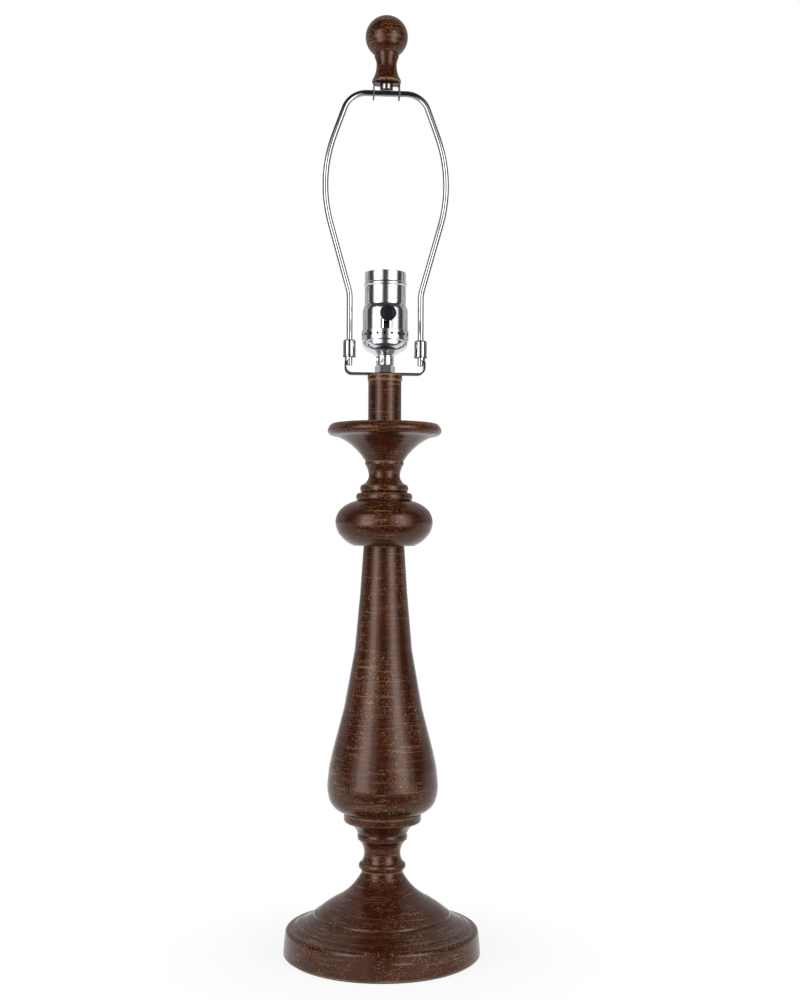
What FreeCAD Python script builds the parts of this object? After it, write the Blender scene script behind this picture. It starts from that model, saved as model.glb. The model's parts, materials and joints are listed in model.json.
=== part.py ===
"""Candlestick table lamp: turned column, socket with a turn knob, and a lift-off harp.

Millimetres. The origin is the middle of the foot on the table, +Z is up, the harp spreads along X
and the turn knob points towards -Y.
"""
import FreeCAD, Part
import math
import os
import re
import Sketcher
from FreeCAD import Placement, Rotation, Vector

# ---------------------------------------------------------------- driving sizes
# Every size that can be set by itself, in millimetres. A height is measured from its own
# piece's lower end unless its note says otherwise.
SIZES = {
    # foot
    "felt_thickness": 1.5, "felt_inset": 3.0,
    "base_radius": 79.2, "base_height": 67.0, "base_draft": 1.5, "base_wall_height": 18.4,
    "base_foot_round": 1.5, "base_edge_round": 3.3, "base_ring_radius": 67.8, "base_ring_height": 24.2,
    "base_shoulder_radius": 54.4, "base_shoulder_height": 32.2,
    "base_dome_radius": 39.8, "base_dome_height": 42.7, "base_neck_radius": 16.7, "base_neck_length": 2.2,
    "recess_radius": 60.0, "recess_depth": 16.0,
    "weight_clearance": 0.5, "weight_thickness": 11.0, "weight_eye_radius": 22.0, "cord_slot_width": 11.0,
    "cord_hole_radius": 4.2, "cord_hole_height": 10.0, "spot_face_depth": 2.6,
    "bushing_bore": 3.1, "bushing_flange_radius": 6.0, "bushing_flange_thickness": 1.4,
    "bushing_clearance": 0.05,
    # threaded pipe and its lower fastening
    "pipe_radius": 5.0, "pipe_bore": 3.3, "pipe_clearance": 0.15, "thread_clearance": 0.04,
    "pipe_tail": 3.3, "pipe_engagement": 6.4,
    "washer_radius": 12.0, "washer_thickness": 1.2, "nut_flats": 14.3, "nut_thickness": 5.0,
    # lower spool
    "spool_height": 44.8, "spool_end_radius": 16.7, "spool_bead_height": 6.4,
    "spool_waist_radius": 14.6, "spool_waist_height": 14.3, "spool_ring_radius": 19.8,
    "spool_ring_height": 24.5, "spool_ring_width": 4.7, "spool_collar_radius": 31.2,
    "spool_collar_height": 40.0, "spool_collar_round": 2.1,
    # vase
    "vase_height": 216.0, "vase_foot_radius": 30.8, "vase_foot_height": 1.0,
    "vase_swell_radius": 42.5, "vase_swell_height": 10.3, "vase_belly_radius": 44.7,
    "vase_belly_height": 24.1, "vase_shoulder_radius": 40.6, "vase_shoulder_height": 50.7,
    "vase_taper_radius": 31.8, "vase_taper_height": 84.4, "vase_stem_radius": 19.1,
    "vase_stem_height": 177.8, "vase_top_radius": 16.6,
    # knop
    "knop_height": 68.7, "knop_foot_radius": 24.3, "knop_ball_radius": 39.5, "knop_ball_height": 19.2,
    "knop_under_radius": 36.8, "knop_under_height": 10.0, "knop_over_radius": 35.2,
    "knop_over_height": 30.0, "knop_ball_top": 36.6, "knop_first_ring_radius": 22.0,
    "knop_second_ring_radius": 18.7, "knop_ring_width": 5.9, "knop_ring_gap": 1.0,
    "knop_neck_radius": 12.6, "knop_neck_height": 57.5, "knop_top_radius": 15.6,
    # drip pan
    "pan_foot_radius": 15.7, "pan_bowl_radius": 37.3, "pan_bowl_height": 19.7,
    "pan_radius": 46.4, "pan_rim_underside": 21.0, "pan_rim_middle": 24.7, "pan_height": 30.3,
    "pan_rim_width": 4.6, "pan_floor_height": 24.0, "pan_rim_round": 3.3,
    # candle tube and its cap
    "tube_radius": 13.5, "tube_wall": 1.8, "tube_length": 41.8,
    "tube_cap_overhang": 0.6, "tube_cap_thickness": 5.0, "tube_cap_plug": 5.0, "tube_cap_round": 1.0,
    "plug_clearance": 0.1,
    # harp saddle and the nut over it
    "strip_thickness": 1.2, "strip_width": 11.0, "saddle_bend": 5.8, "arm_height": 10.4,
    "channel_top": 25.8, "channel_clearance": 0.25, "channel_wall": 1.1, "lip_slope": 4.5,
    "saddle_nut_thickness": 6.0, "socket_gap": 0.5,
    # socket cap
    "cap_neck_radius": 7.3, "cap_neck_height": 7.2, "cap_cone_radius": 14.4, "cap_cone_height": 11.6,
    "cap_bowl_radius": 18.6, "cap_bowl_height": 19.4, "cap_step": 0.5, "cap_band_top": 28.0,
    "cap_wall": 0.6, "cap_inner_floor": 9.0,
    "set_screw_height": 3.9, "set_screw_bearing": 36.0, "set_screw_radius": 1.5,
    "set_screw_head_radius": 2.7, "set_screw_head_length": 1.8, "set_screw_reach": 2.3,
    "screw_clearance": 0.05, "screw_slot_width": 0.8, "screw_slot_depth": 0.7,
    # socket shell and its paper liner
    "shell_clearance": 0.1, "shell_wall": 0.5, "shell_height": 53.4, "shell_shoulder_height": 22.4,
    "shell_upper_radius": 16.75, "shell_shoulder_length": 4.8, "shell_bead_height": 42.6,
    "shell_bead_width": 2.8, "key_slot_width": 9.8, "liner_clearance": 0.1, "liner_wall": 0.8,
    "liner_inset": 2.6, "liner_top_inset": 0.8,
    # socket interior
    "flange_seat_gap": 0.05, "flange_thickness": 1.4, "interior_clearance": 0.15,
    "interior_height": 24.6, "boss_radius": 11.4, "boss_depth": 7.4, "key_height": 16.3,
    "rotor_radius": 5.4, "rotor_clearance": 0.1, "rotor_back": 4.6, "cavity_end_gap": 0.4,
    "tongue_width": 4.6, "tongue_height": 12.0, "tongue_clearance": 0.35,
    "screw_shell_bore": 13.2, "screw_shell_wall": 0.35, "screw_shell_height": 25.6,
    "screw_shell_eye": 6.4, "screw_shell_seat": 11.6,
    "contact_thickness": 0.5, "contact_width": 5.0, "contact_foot": 3.2, "contact_reach": 4.6,
    "contact_rise": 2.6,
    "terminal_height": 3.6, "terminal_radius": 1.8, "terminal_length": 5.0,
    "terminal_head_radius": 3.0, "terminal_head_length": 2.0,
    # key shaft and turn knob, measured outwards from the lamp's axis
    "shaft_radius": 2.2, "rotor_front": 10.2, "knob_root": 20.8, "knob_tip": 35.0,
    "knob_stem_radius": 4.5, "knob_radius": 6.6, "knob_flare_length": 5.6, "knob_dish_radius": 3.9,
    "knob_dish_depth": 1.0, "shaft_end_gap": 2.2, "knob_round": 0.8,
    # harp
    "wire_radius": 2.4, "harp_leg": 29.1, "harp_leg_height": 58.8, "harp_elbow_radius": 29.6,
    "harp_bow": 55.5, "harp_bow_height": 152.8, "harp_bow_radius": 120.0, "harp_height": 223.9,
    "harp_corner": 29.7, "harp_corner_radius": 19.0, "wire_drop": 6.8,
    "ferrule_radius": 5.0, "ferrule_length": 13.9, "ferrule_top_wall": 1.5, "ferrule_clearance": 0.2,
    "ferrule_round": 1.6, "ferrule_lip": 0.3, "ferrule_lip_height": 1.2, "ferrule_overlap": 0.6,
    # fitting at the top of the harp
    "bracket_span": 22.0, "bracket_width": 10.0, "bracket_thickness": 1.0, "bracket_bend": 2.2,
    "bracket_below_wire": 2.2, "bracket_above_wire": 5.8, "stud_radius": 3.17, "stud_length": 17.0,
    "stud_head_radius": 5.3, "stud_head_gap": 0.3,
    # finial
    "finial_gap": 0.3, "finial_foot_radius": 11.9, "finial_foot_height": 2.0, "finial_neck_radius": 8.3,
    "finial_neck_height": 15.6, "finial_shoulder_radius": 10.0, "finial_shoulder_height": 21.6,
    "finial_ball_radius": 17.4, "finial_ball_height": 38.1, "insert_radius": 5.2, "insert_length": 17.4,
    "insert_clearance": 0.05, "stud_clearance": 0.06, "insert_top_gap": 0.4,
}

# Places up the lamp, each worked out from the piece that it stands on.
BASE_FLOOR = "felt_thickness"
SPOOL_FLOOR = BASE_FLOOR + " + base_height"
VASE_FLOOR = SPOOL_FLOOR + " + spool_height"
KNOP_FLOOR = VASE_FLOOR + " + vase_height"
PAN_FLOOR = KNOP_FLOOR + " + knop_height"
TUBE_FLOOR = PAN_FLOOR + " + pan_floor_height"
TUBE_TOP = TUBE_FLOOR + " + tube_length"
SADDLE_FLOOR = TUBE_TOP + " + tube_cap_thickness"
SADDLE_NUT_FLOOR = SADDLE_FLOOR + " + strip_thickness"
CAP_FLOOR = SADDLE_NUT_FLOOR + " + saddle_nut_thickness + socket_gap"
FLANGE_FLOOR = CAP_FLOOR + " + cap_bowl_height + cap_step + flange_seat_gap"
SHELL_FLOOR = FLANGE_FLOOR + " + flange_thickness + flange_seat_gap"
KEY_AXIS = SHELL_FLOOR + " + key_height"
INTERIOR_TOP = FLANGE_FLOOR + " + interior_height"
FERRULE_FLOOR = SADDLE_FLOOR + " + arm_height + lip_slope - ferrule_overlap"
WIRE_END = FERRULE_FLOOR + " - wire_drop"
BRACKET_TOP = WIRE_END + " + harp_height + wire_radius + bracket_above_wire"
FINIAL_FLOOR = BRACKET_TOP + " + finial_gap"
RECESS_TOP = BASE_FLOOR + " + recess_depth"
PIPE_END = RECESS_TOP + " - washer_thickness - nut_thickness - pipe_tail"

# Radii that fits share.
PIPE_HOLE = "(pipe_radius + pipe_clearance)"
THREADED_HOLE = "(pipe_radius + thread_clearance)"
NUT_CORNER = "(nut_flats / sqrt(3))"
CAP_BAND_RADIUS = "(cap_bowl_radius + cap_step)"
SHELL_RADIUS = "(cap_bowl_radius + cap_step - cap_wall - shell_clearance)"
LINER_RADIUS = "(shell_upper_radius - shell_wall - liner_clearance)"
INTERIOR_RADIUS = "(%s - liner_wall - interior_clearance)" % LINER_RADIUS
CAVITY_RADIUS = "(rotor_radius + rotor_clearance)"
CHANNEL_INSIDE = "(wire_radius + channel_clearance)"
CHANNEL_OUTSIDE = "(%s + channel_wall)" % CHANNEL_INSIDE
ARM_OUTSIDE = "(harp_leg + %s)" % CHANNEL_OUTSIDE
FERRULE_BORE = "(%s + ferrule_clearance)" % CHANNEL_OUTSIDE

QUARTER_TURN = 0.4142    # bulge of a quarter of a circle: the tangent of a quarter of its angle
FORWARD = Rotation(Vector(1, 0, 0), 90)     # lays a piece's own Z along the lamp's -Y
BACKWARD = Rotation(Vector(1, 0, 0), -90)   # and along its +Y
SIDEWAYS = Rotation(Vector(0, 1, 0), 90)    # and along its +X
SIDES = (("left", "-", Rotation(Vector(0, 1, 0), -90)), ("right", "+", SIDEWAYS))

doc = FreeCAD.newDocument("CandlestickLamp")
sheet = doc.addObject("Spreadsheet::Sheet", "Sizes")
for row, (alias, number) in enumerate(SIZES.items(), start=1):
    sheet.set("A%d" % row, alias.replace("_", " "))
    sheet.set("B%d" % row, str(number))
    sheet.setAlias("B%d" % row, alias)
doc.recompute()


# ---------------------------------------------------------------- drawing helpers
def tied(words):
    """Turn the plain size names in an expression into references to the sheet."""
    return re.sub(r"[a-z_]+", lambda name: "Sizes." + name[0] if name[0] in SIZES else name[0], words)


def number(words):
    """The present value of an expression."""
    return float(sheet.evalExpression(tied(words)))


def add_body(label, up="0", across="0", turned=Rotation()):
    """A sub-part of its own, standing at a height up the lamp's axis."""
    body = doc.addObject("PartDesign::Body", label)
    body.Label = label
    body.Placement = Placement(Vector(), turned)
    body.setExpression("Placement.Base.x", tied(across))
    body.setExpression("Placement.Base.z", tied(up))
    return body


def origin_plane(body, role):
    return next(plane for plane in body.Origin.OriginFeatures if plane.Role == role)


def add_sketch(body, role, name, lift="0"):
    sketch = body.newObject("Sketcher::SketchObject", name)
    sketch.AttachmentSupport = (origin_plane(body, role), [""])
    sketch.MapMode = "FlatFace"
    sketch.setExpression("AttachmentOffset.Base.z", tied(lift))
    return sketch


def hold(sketch, geometry, end, across, up):
    """Tie one point of a sketch to the sheet, or put it on an axis where its place is 0."""
    for direction, words, axis in (("DistanceX", across, -2), ("DistanceY", up, -1)):
        if words == "0":
            sketch.addConstraint(Sketcher.Constraint("PointOnObject", geometry, end, axis))
        else:
            rule = Sketcher.Constraint(direction, -1, 1, geometry, end, number(words))
            sketch.setExpression("Constraints[%d]" % sketch.addConstraint(rule), tied(words))


def draw_outline(sketch, corners):
    """A closed outline. A corner is (across, up) or (across, up, bulge), where the bulge bends
    the edge that arrives at it: a quarter of the arc's angle, as its tangent, + to the right.
    An arc that ends on the axis has its centre there too."""
    places = [Vector(number(corner[0]), number(corner[1]), 0) for corner in corners]
    ends = []
    for index, corner in enumerate(corners):
        begin, finish = places[index - 1], places[index]
        before = corners[index - 1]
        if len(corner) == 2:
            edge = sketch.addGeometry(Part.LineSegment(begin, finish), False)
            ends.append((edge, 1, 2))
            continue
        bulge = corner[2]
        chord = finish - begin
        middle = (begin + finish) / 2 + Vector(chord.y, -chord.x, 0) * (bulge / 2)
        edge = sketch.addGeometry(Part.Arc(begin, middle, finish), False)
        ends.append((edge, 1, 2) if bulge > 0 else (edge, 2, 1))
        if corner[0] == "0":
            sketch.addConstraint(Sketcher.Constraint("PointOnObject", edge, 3, -2))
            continue
        crown = sketch.addGeometry(Part.Point(middle), True)
        across = "(%s + %s) / 2 + (%s - (%s)) * %g" % (before[0], corner[0], corner[1], before[1], bulge / 2)
        up = "(%s + %s) / 2 - (%s - (%s)) * %g" % (before[1], corner[1], corner[0], before[0], bulge / 2)
        hold(sketch, crown, 1, across, up)
        sketch.addConstraint(Sketcher.Constraint("PointOnObject", crown, 1, edge))
    for index, corner in enumerate(corners):
        edge, _, finish = ends[index]
        following, start, _ = ends[(index + 1) % len(ends)]
        sketch.addConstraint(Sketcher.Constraint("Coincident", edge, finish, following, start))
        hold(sketch, edge, finish, corner[0], corner[1])
    return sketch


def revolve(body, sketch, name):
    turn = body.newObject("PartDesign::Revolution", name)
    turn.Profile = sketch
    turn.ReferenceAxis = (sketch, ["V_Axis"])
    turn.Angle = 360
    return turn


def turned_piece(label, corners, up="0", across="0", turned=Rotation()):
    """A piece made on the lathe from half of its section."""
    body = add_body(label, up, across, turned)
    revolve(body, draw_outline(add_sketch(body, "XZ_Plane", label + "_section"), corners), label + "_turning")
    return body


def pad(body, sketch, name, length, both_ways=False):
    raised = body.newObject("PartDesign::Pad", name)
    raised.Profile = sketch
    raised.setExpression("Length", tied(length))
    raised.Midplane = both_ways
    return raised


def add_form(body, kind, name, at, turned=Rotation(), **sizes):
    """A simple additive or subtractive form: box, cylinder or prism."""
    form = body.newObject("PartDesign::" + kind, name)
    form.Placement = Placement(Vector(), turned)
    for axis, words in zip("xyz", at):
        form.setExpression("Placement.Base." + axis, tied(words))
    for size, words in sizes.items():
        form.setExpression(size, tied(words))
    return form


def mirror_across(body, feature, name):
    """Repeat a feature on the other side of the YZ plane."""
    twin = body.newObject("PartDesign::Mirrored", name)
    twin.Originals = [feature]
    twin.MirrorPlane = (origin_plane(body, "YZ_Plane"), [""])
    body.Tip = twin
    return twin


def hex_nut(label, up, thickness):
    body = add_body(label, up)
    blank = add_form(body, "AdditivePrism", label + "_blank", ("0", "0", "0"),
                     Circumradius=NUT_CORNER, Height=thickness)
    blank.Polygon = 6
    add_form(body, "SubtractiveCylinder", label + "_thread", ("0", "0", "0"),
             Radius=THREADED_HOLE, Height=thickness)
    return body


# ---------------------------------------------------------------- foot
def make_felt():
    body = add_body("base_felt")
    add_form(body, "AdditiveCylinder", "felt_disc", ("0", "0", "0"),
             Radius="base_radius - felt_inset", Height="felt_thickness")


def make_base():
    """Turned foot with a recess underneath, and a cord hole through the wall at the back."""
    body = turned_piece("base", [
        ("recess_radius", "0"),
        ("base_radius - base_foot_round", "0"),
        ("base_radius", "base_foot_round", QUARTER_TURN),
        ("base_radius - base_draft", "base_wall_height"),
        ("base_radius - base_draft - base_edge_round", "base_wall_height + base_edge_round", 0.36),
        ("base_ring_radius", "base_ring_height"),
        ("base_shoulder_radius", "base_shoulder_height", -0.037),
        ("base_dome_radius", "base_dome_height", 0.05),
        ("base_neck_radius", "base_height - base_neck_length", -0.166),
        ("base_neck_radius", "base_height"),
        (PIPE_HOLE, "base_height"),
        (PIPE_HOLE, "recess_depth"),
        ("recess_radius", "recess_depth"),
    ], BASE_FLOOR)
    add_form(body, "SubtractiveCylinder", "cord_hole", ("0", "recess_radius / 2", "cord_hole_height"),
             BACKWARD, Radius="cord_hole_radius", Height="base_radius")
    add_form(body, "SubtractiveCylinder", "cord_hole_spot_face",
             ("0", "base_radius - spot_face_depth", "cord_hole_height"), BACKWARD,
             Radius="bushing_flange_radius + bushing_clearance", Height="base_radius")


def make_bushing():
    """Bushing that lines the cord hole, its flange sunk in the spot face."""
    seat = "base_radius - spot_face_depth"
    turned_piece("cord_bushing", [
        ("bushing_bore", "recess_radius"),
        ("cord_hole_radius - bushing_clearance", "recess_radius"),
        ("cord_hole_radius - bushing_clearance", seat),
        ("bushing_flange_radius", seat),
        ("bushing_flange_radius", seat + " + bushing_flange_thickness"),
        ("bushing_bore", seat + " + bushing_flange_thickness"),
    ], BASE_FLOOR + " + cord_hole_height", turned=BACKWARD)


def make_weight():
    """Cast ring in the recess, slotted for the cord."""
    outside = "recess_radius - weight_clearance"
    body = turned_piece("base_weight", [
        ("weight_eye_radius", "0"),
        (outside, "0"),
        (outside, "weight_thickness"),
        ("weight_eye_radius", "weight_thickness"),
    ], RECESS_TOP + " - weight_thickness")
    add_form(body, "SubtractiveBox", "cord_slot", ("-cord_slot_width / 2", "0", "-weight_thickness"),
             Length="cord_slot_width", Width="recess_radius", Height="weight_thickness * 3")


def make_pipe_and_fastening():
    """Threaded pipe that clamps the whole column, with its washer and nut in the recess."""
    turned_piece("center_pipe", [
        ("pipe_bore", "0"),
        ("pipe_radius", "0"),
        ("pipe_radius", CAP_FLOOR + " + pipe_engagement - (%s)" % PIPE_END),
        ("pipe_bore", CAP_FLOOR + " + pipe_engagement - (%s)" % PIPE_END),
    ], PIPE_END)
    turned_piece("bottom_washer", [
        (PIPE_HOLE, "0"),
        ("washer_radius", "0"),
        ("washer_radius", "washer_thickness"),
        (PIPE_HOLE, "washer_thickness"),
    ], RECESS_TOP + " - washer_thickness")
    hex_nut("bottom_nut", RECESS_TOP + " - washer_thickness - nut_thickness", "nut_thickness")


# ---------------------------------------------------------------- column
def make_spool():
    """Bead, waist and ring that spread into the collar under the vase."""
    turned_piece("column_spool", [
        (PIPE_HOLE, "0"),
        ("spool_end_radius", "0"),
        ("spool_end_radius", "spool_bead_height", 0.75),
        ("spool_waist_radius", "spool_waist_height", -0.142),
        ("spool_ring_radius", "spool_ring_height", -0.222),
        ("spool_ring_radius", "spool_ring_height + spool_ring_width", 0.167),
        ("spool_collar_radius - spool_collar_round", "spool_collar_height - spool_collar_round", -0.26),
        ("spool_collar_radius", "spool_collar_height", 0.3),
        ("spool_collar_radius", "spool_height"),
        (PIPE_HOLE, "spool_height"),
    ], SPOOL_FLOOR)


def make_vase():
    """Long vase that swells above the collar and draws in to a slim stem."""
    turned_piece("column_vase", [
        (PIPE_HOLE, "0"),
        ("vase_foot_radius", "0"),
        ("vase_foot_radius", "vase_foot_height"),
        ("vase_swell_radius", "vase_swell_height", 0.223),
        ("vase_belly_radius", "vase_belly_height", 0.1),
        ("vase_shoulder_radius", "vase_shoulder_height", 0.058),
        ("vase_taper_radius", "vase_taper_height"),
        ("vase_stem_radius", "vase_stem_height", -0.044),
        ("vase_top_radius", "vase_height"),
        (PIPE_HOLE, "vase_height"),
    ], VASE_FLOOR)


def make_knop():
    """Flattened ball with two rings and a waisted neck over it."""
    first_top = "knop_ball_top + knop_ring_width"
    second_floor = first_top + " + knop_ring_gap"
    turned_piece("column_knop", [
        (PIPE_HOLE, "0"),
        ("knop_foot_radius", "0"),
        ("knop_under_radius", "knop_under_height", 0.152),
        ("knop_ball_radius", "knop_ball_height", 0.131),
        ("knop_over_radius", "knop_over_height", 0.196),
        ("knop_first_ring_radius + knop_ring_gap", "knop_ball_top", 0.123),
        ("knop_first_ring_radius", "knop_ball_top"),
        ("knop_first_ring_radius", first_top, 0.3),
        ("knop_second_ring_radius", second_floor),
        ("knop_second_ring_radius", second_floor + " + knop_ring_width", 0.3),
        ("knop_neck_radius", "knop_neck_height", -0.327),
        ("knop_top_radius", "knop_height", -0.093),
        (PIPE_HOLE, "knop_height"),
    ], KNOP_FLOOR)


def make_pan():
    """Drip pan: a flared bowl with a heavy rounded rim and a sunk floor."""
    inside = "pan_radius - pan_rim_width"
    turned_piece("candle_pan", [
        (PIPE_HOLE, "0"),
        ("pan_foot_radius", "0"),
        ("pan_bowl_radius", "pan_bowl_height", -0.152),
        ("pan_radius - pan_rim_round", "pan_rim_underside"),
        ("pan_radius", "pan_rim_middle", 0.3),
        ("pan_radius - pan_rim_round", "pan_height", 0.18),
        (inside, "pan_height - pan_rim_round / 2", 0.3),
        (inside + " - pan_rim_round", "pan_floor_height", -0.2),
        (PIPE_HOLE, "pan_floor_height"),
    ], PAN_FLOOR)


def make_tube():
    inside = "tube_radius - tube_wall"
    turned_piece("candle_tube", [
        (inside, "0"),
        ("tube_radius", "0"),
        ("tube_radius", "tube_length"),
        (inside, "tube_length"),
    ], TUBE_FLOOR)
    edge = "tube_radius + tube_cap_overhang"
    plug = inside + " - plug_clearance"
    turned_piece("tube_cap", [
        (PIPE_HOLE, "0"),
        (plug, "0"),
        (plug, "tube_cap_plug"),
        (edge, "tube_cap_plug"),
        (edge, "tube_cap_plug + tube_cap_thickness - tube_cap_round"),
        (edge + " - tube_cap_round", "tube_cap_plug + tube_cap_thickness", QUARTER_TURN),
        (PIPE_HOLE, "tube_cap_plug + tube_cap_thickness"),
    ], TUBE_TOP + " - tube_cap_plug")


# ---------------------------------------------------------------- harp saddle
def make_saddle():
    """Bent strip whose arms end in channels that cradle the harp's two feet."""
    body = add_body("harp_saddle", SADDLE_FLOOR)
    inner = ARM_OUTSIDE + " - strip_thickness"
    flat_end = ARM_OUTSIDE + " - saddle_bend"
    strip = draw_outline(add_sketch(body, "XZ_Plane", "saddle_strip"), [
        ("0", "0"),
        (flat_end, "0"),
        (ARM_OUTSIDE, "saddle_bend", QUARTER_TURN),
        (ARM_OUTSIDE, "arm_height"),
        (inner, "arm_height"),
        (inner, "saddle_bend"),
        (flat_end, "strip_thickness", -QUARTER_TURN),
        ("0", "strip_thickness"),
    ])
    arm = pad(body, strip, "saddle_arm", "strip_width", both_ways=True)
    channel_floor = "saddle_bend + strip_thickness / 2"
    channel_section = draw_outline(add_sketch(body, "XY_Plane", "channel_section", channel_floor), [
        ("harp_leg", "-(%s)" % CHANNEL_OUTSIDE),
        (ARM_OUTSIDE, "0", QUARTER_TURN),
        ("harp_leg", CHANNEL_OUTSIDE, QUARTER_TURN),
        ("harp_leg", CHANNEL_INSIDE),
        ("harp_leg + " + CHANNEL_INSIDE, "0", -QUARTER_TURN),
        ("harp_leg", "-(%s)" % CHANNEL_INSIDE, -QUARTER_TURN),
    ])
    channel = pad(body, channel_section, "channel", "channel_top - (%s)" % channel_floor)
    lips = draw_outline(add_sketch(body, "XZ_Plane", "lip_cut"), [
        ("harp_leg - wire_radius", channel_floor + " - strip_thickness"),
        (inner, channel_floor + " - strip_thickness"),
        (inner, "arm_height"),
        ("harp_leg - wire_radius", "arm_height + lip_slope"),
    ])
    cut = body.newObject("PartDesign::Pocket", "lip_cut_pocket")
    cut.Profile = lips
    cut.Midplane = True
    cut.setExpression("Length", tied("strip_width * 2"))
    twin = mirror_across(body, arm, "saddle_other_side")
    twin.Originals = [arm, channel, cut]
    add_form(body, "SubtractiveCylinder", "saddle_hole", ("0", "0", "-strip_thickness"),
             Radius=PIPE_HOLE, Height="strip_thickness * 3")
    hex_nut("saddle_nut", SADDLE_NUT_FLOOR, "saddle_nut_thickness")


# ---------------------------------------------------------------- socket
def make_socket_cap():
    """Pressed cap: threaded neck, bowl, and a band that grips the shell."""
    band_inside = CAP_BAND_RADIUS + " - cap_wall"
    body = turned_piece("socket_cap", [
        (THREADED_HOLE, "0"),
        ("cap_neck_radius", "0"),
        ("cap_neck_radius", "cap_neck_height"),
        ("cap_cone_radius", "cap_cone_height", 0.05),
        ("cap_bowl_radius", "cap_bowl_height", 0.25),
        (CAP_BAND_RADIUS, "cap_bowl_height + cap_step"),
        (CAP_BAND_RADIUS, "cap_band_top"),
        (band_inside, "cap_band_top"),
        (band_inside, "cap_bowl_height + cap_step"),
        ("cap_bowl_radius - cap_wall", "cap_bowl_height"),
        ("cap_cone_radius - cap_wall", "cap_cone_height + cap_wall", -0.25),
        ("cap_neck_radius", "cap_inner_floor"),
        (THREADED_HOLE, "cap_inner_floor"),
    ], CAP_FLOOR)
    bearing = Rotation(-number("set_screw_bearing"), 0, 90)
    add_form(body, "SubtractiveCylinder", "set_screw_hole", ("0", "0", "set_screw_height"), bearing,
             Radius="set_screw_radius + screw_clearance", Height="cap_neck_radius * 2")
    screw = turned_piece("cap_set_screw", [
        ("0", "pipe_radius + screw_clearance"),
        ("set_screw_radius", "pipe_radius + screw_clearance"),
        ("set_screw_radius", "cap_neck_radius + set_screw_reach - set_screw_head_length"),
        ("set_screw_head_radius", "cap_neck_radius + set_screw_reach - set_screw_head_length"),
        ("set_screw_head_radius", "cap_neck_radius + set_screw_reach"),
        ("0", "cap_neck_radius + set_screw_reach"),
    ], CAP_FLOOR + " + set_screw_height", turned=bearing)
    add_form(screw, "SubtractiveBox", "screw_slot",
             ("-screw_slot_width / 2", "-set_screw_head_radius",
              "cap_neck_radius + set_screw_reach - screw_slot_depth"),
             Length="screw_slot_width", Width="set_screw_head_radius * 2", Height="screw_slot_depth * 2")


def cut_key_slot(body, name, floor):
    """Slot, open at the lower edge, that lets the key shaft in from the front."""
    add_form(body, "SubtractiveBox", name + "_slot",
             ("-key_slot_width / 2", "-(%s) * 2" % CAP_BAND_RADIUS, "-key_height"),
             Length="key_slot_width", Width=CAP_BAND_RADIUS + " * 2",
             Height="key_height * 2 - (%s)" % floor)
    add_form(body, "SubtractiveCylinder", name + "_slot_end", ("0", "0", "key_height - (%s)" % floor),
             FORWARD, Radius="key_slot_width / 2", Height=CAP_BAND_RADIUS + " * 2")


def make_socket_shell():
    """Spun shell with a shoulder and a rolled bead, and the paper liner inside it."""
    outer, wall = "shell_upper_radius", "shell_wall"
    shoulder_top = "shell_shoulder_height + shell_shoulder_length"
    bead_top = "shell_bead_height + shell_bead_width"
    shell = turned_piece("socket_shell", [
        (SHELL_RADIUS + " - shell_wall", "0"),
        (SHELL_RADIUS, "0"),
        (SHELL_RADIUS, "shell_shoulder_height"),
        (outer, shoulder_top, 0.12),
        (outer, "shell_bead_height"),
        (outer, bead_top, 0.4),
        (outer, "shell_height"),
        (outer + " - " + wall, "shell_height"),
        (outer + " - " + wall, bead_top),
        (outer + " - " + wall, "shell_bead_height", -0.4),
        (outer + " - " + wall, shoulder_top),
        (SHELL_RADIUS + " - shell_wall", "shell_shoulder_height", -0.12),
    ], SHELL_FLOOR)
    cut_key_slot(shell, "shell", "0")
    liner = turned_piece("shell_liner", [
        (LINER_RADIUS + " - liner_wall", "0"),
        (LINER_RADIUS, "0"),
        (LINER_RADIUS, "shell_height - liner_inset - liner_top_inset"),
        (LINER_RADIUS + " - liner_wall", "shell_height - liner_inset - liner_top_inset"),
    ], SHELL_FLOOR + " + liner_inset")
    cut_key_slot(liner, "liner", "liner_inset")


def make_interior():
    """Insulating block: flange on the cap's step, cavity for the key, boss for the terminals."""
    cavity_at = KEY_AXIS + " - (%s)" % FLANGE_FLOOR
    body = turned_piece("socket_interior", [
        ("0", "0"),
        ("boss_radius", "0"),
        ("boss_radius", "boss_depth"),
        (SHELL_RADIUS, "boss_depth"),
        (SHELL_RADIUS, "boss_depth + flange_thickness"),
        (INTERIOR_RADIUS, "boss_depth + flange_thickness"),
        (INTERIOR_RADIUS, "boss_depth + interior_height"),
        ("0", "boss_depth + interior_height"),
    ], FLANGE_FLOOR + " - boss_depth")
    add_form(body, "AdditiveBox", "tongue",
             ("-tongue_width / 2", "-(%s - shell_wall - tongue_clearance)" % SHELL_RADIUS, "boss_depth"),
             Length="tongue_width", Width=SHELL_RADIUS + " - shell_wall - tongue_clearance",
             Height="tongue_height")
    add_form(body, "SubtractiveCylinder", "key_cavity",
             ("0", "rotor_back + cavity_end_gap", "boss_depth + " + cavity_at), FORWARD,
             Radius=CAVITY_RADIUS, Height=CAP_BAND_RADIUS + " * 2")
    for side, sign, turn in SIDES:
        add_form(body, "SubtractiveCylinder", side + "_terminal_hole",
                 (sign + "(boss_radius - terminal_length - cavity_end_gap)", "0",
                  "boss_depth - terminal_height"), turn,
                 Radius="terminal_radius + screw_clearance", Height="boss_radius")


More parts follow.
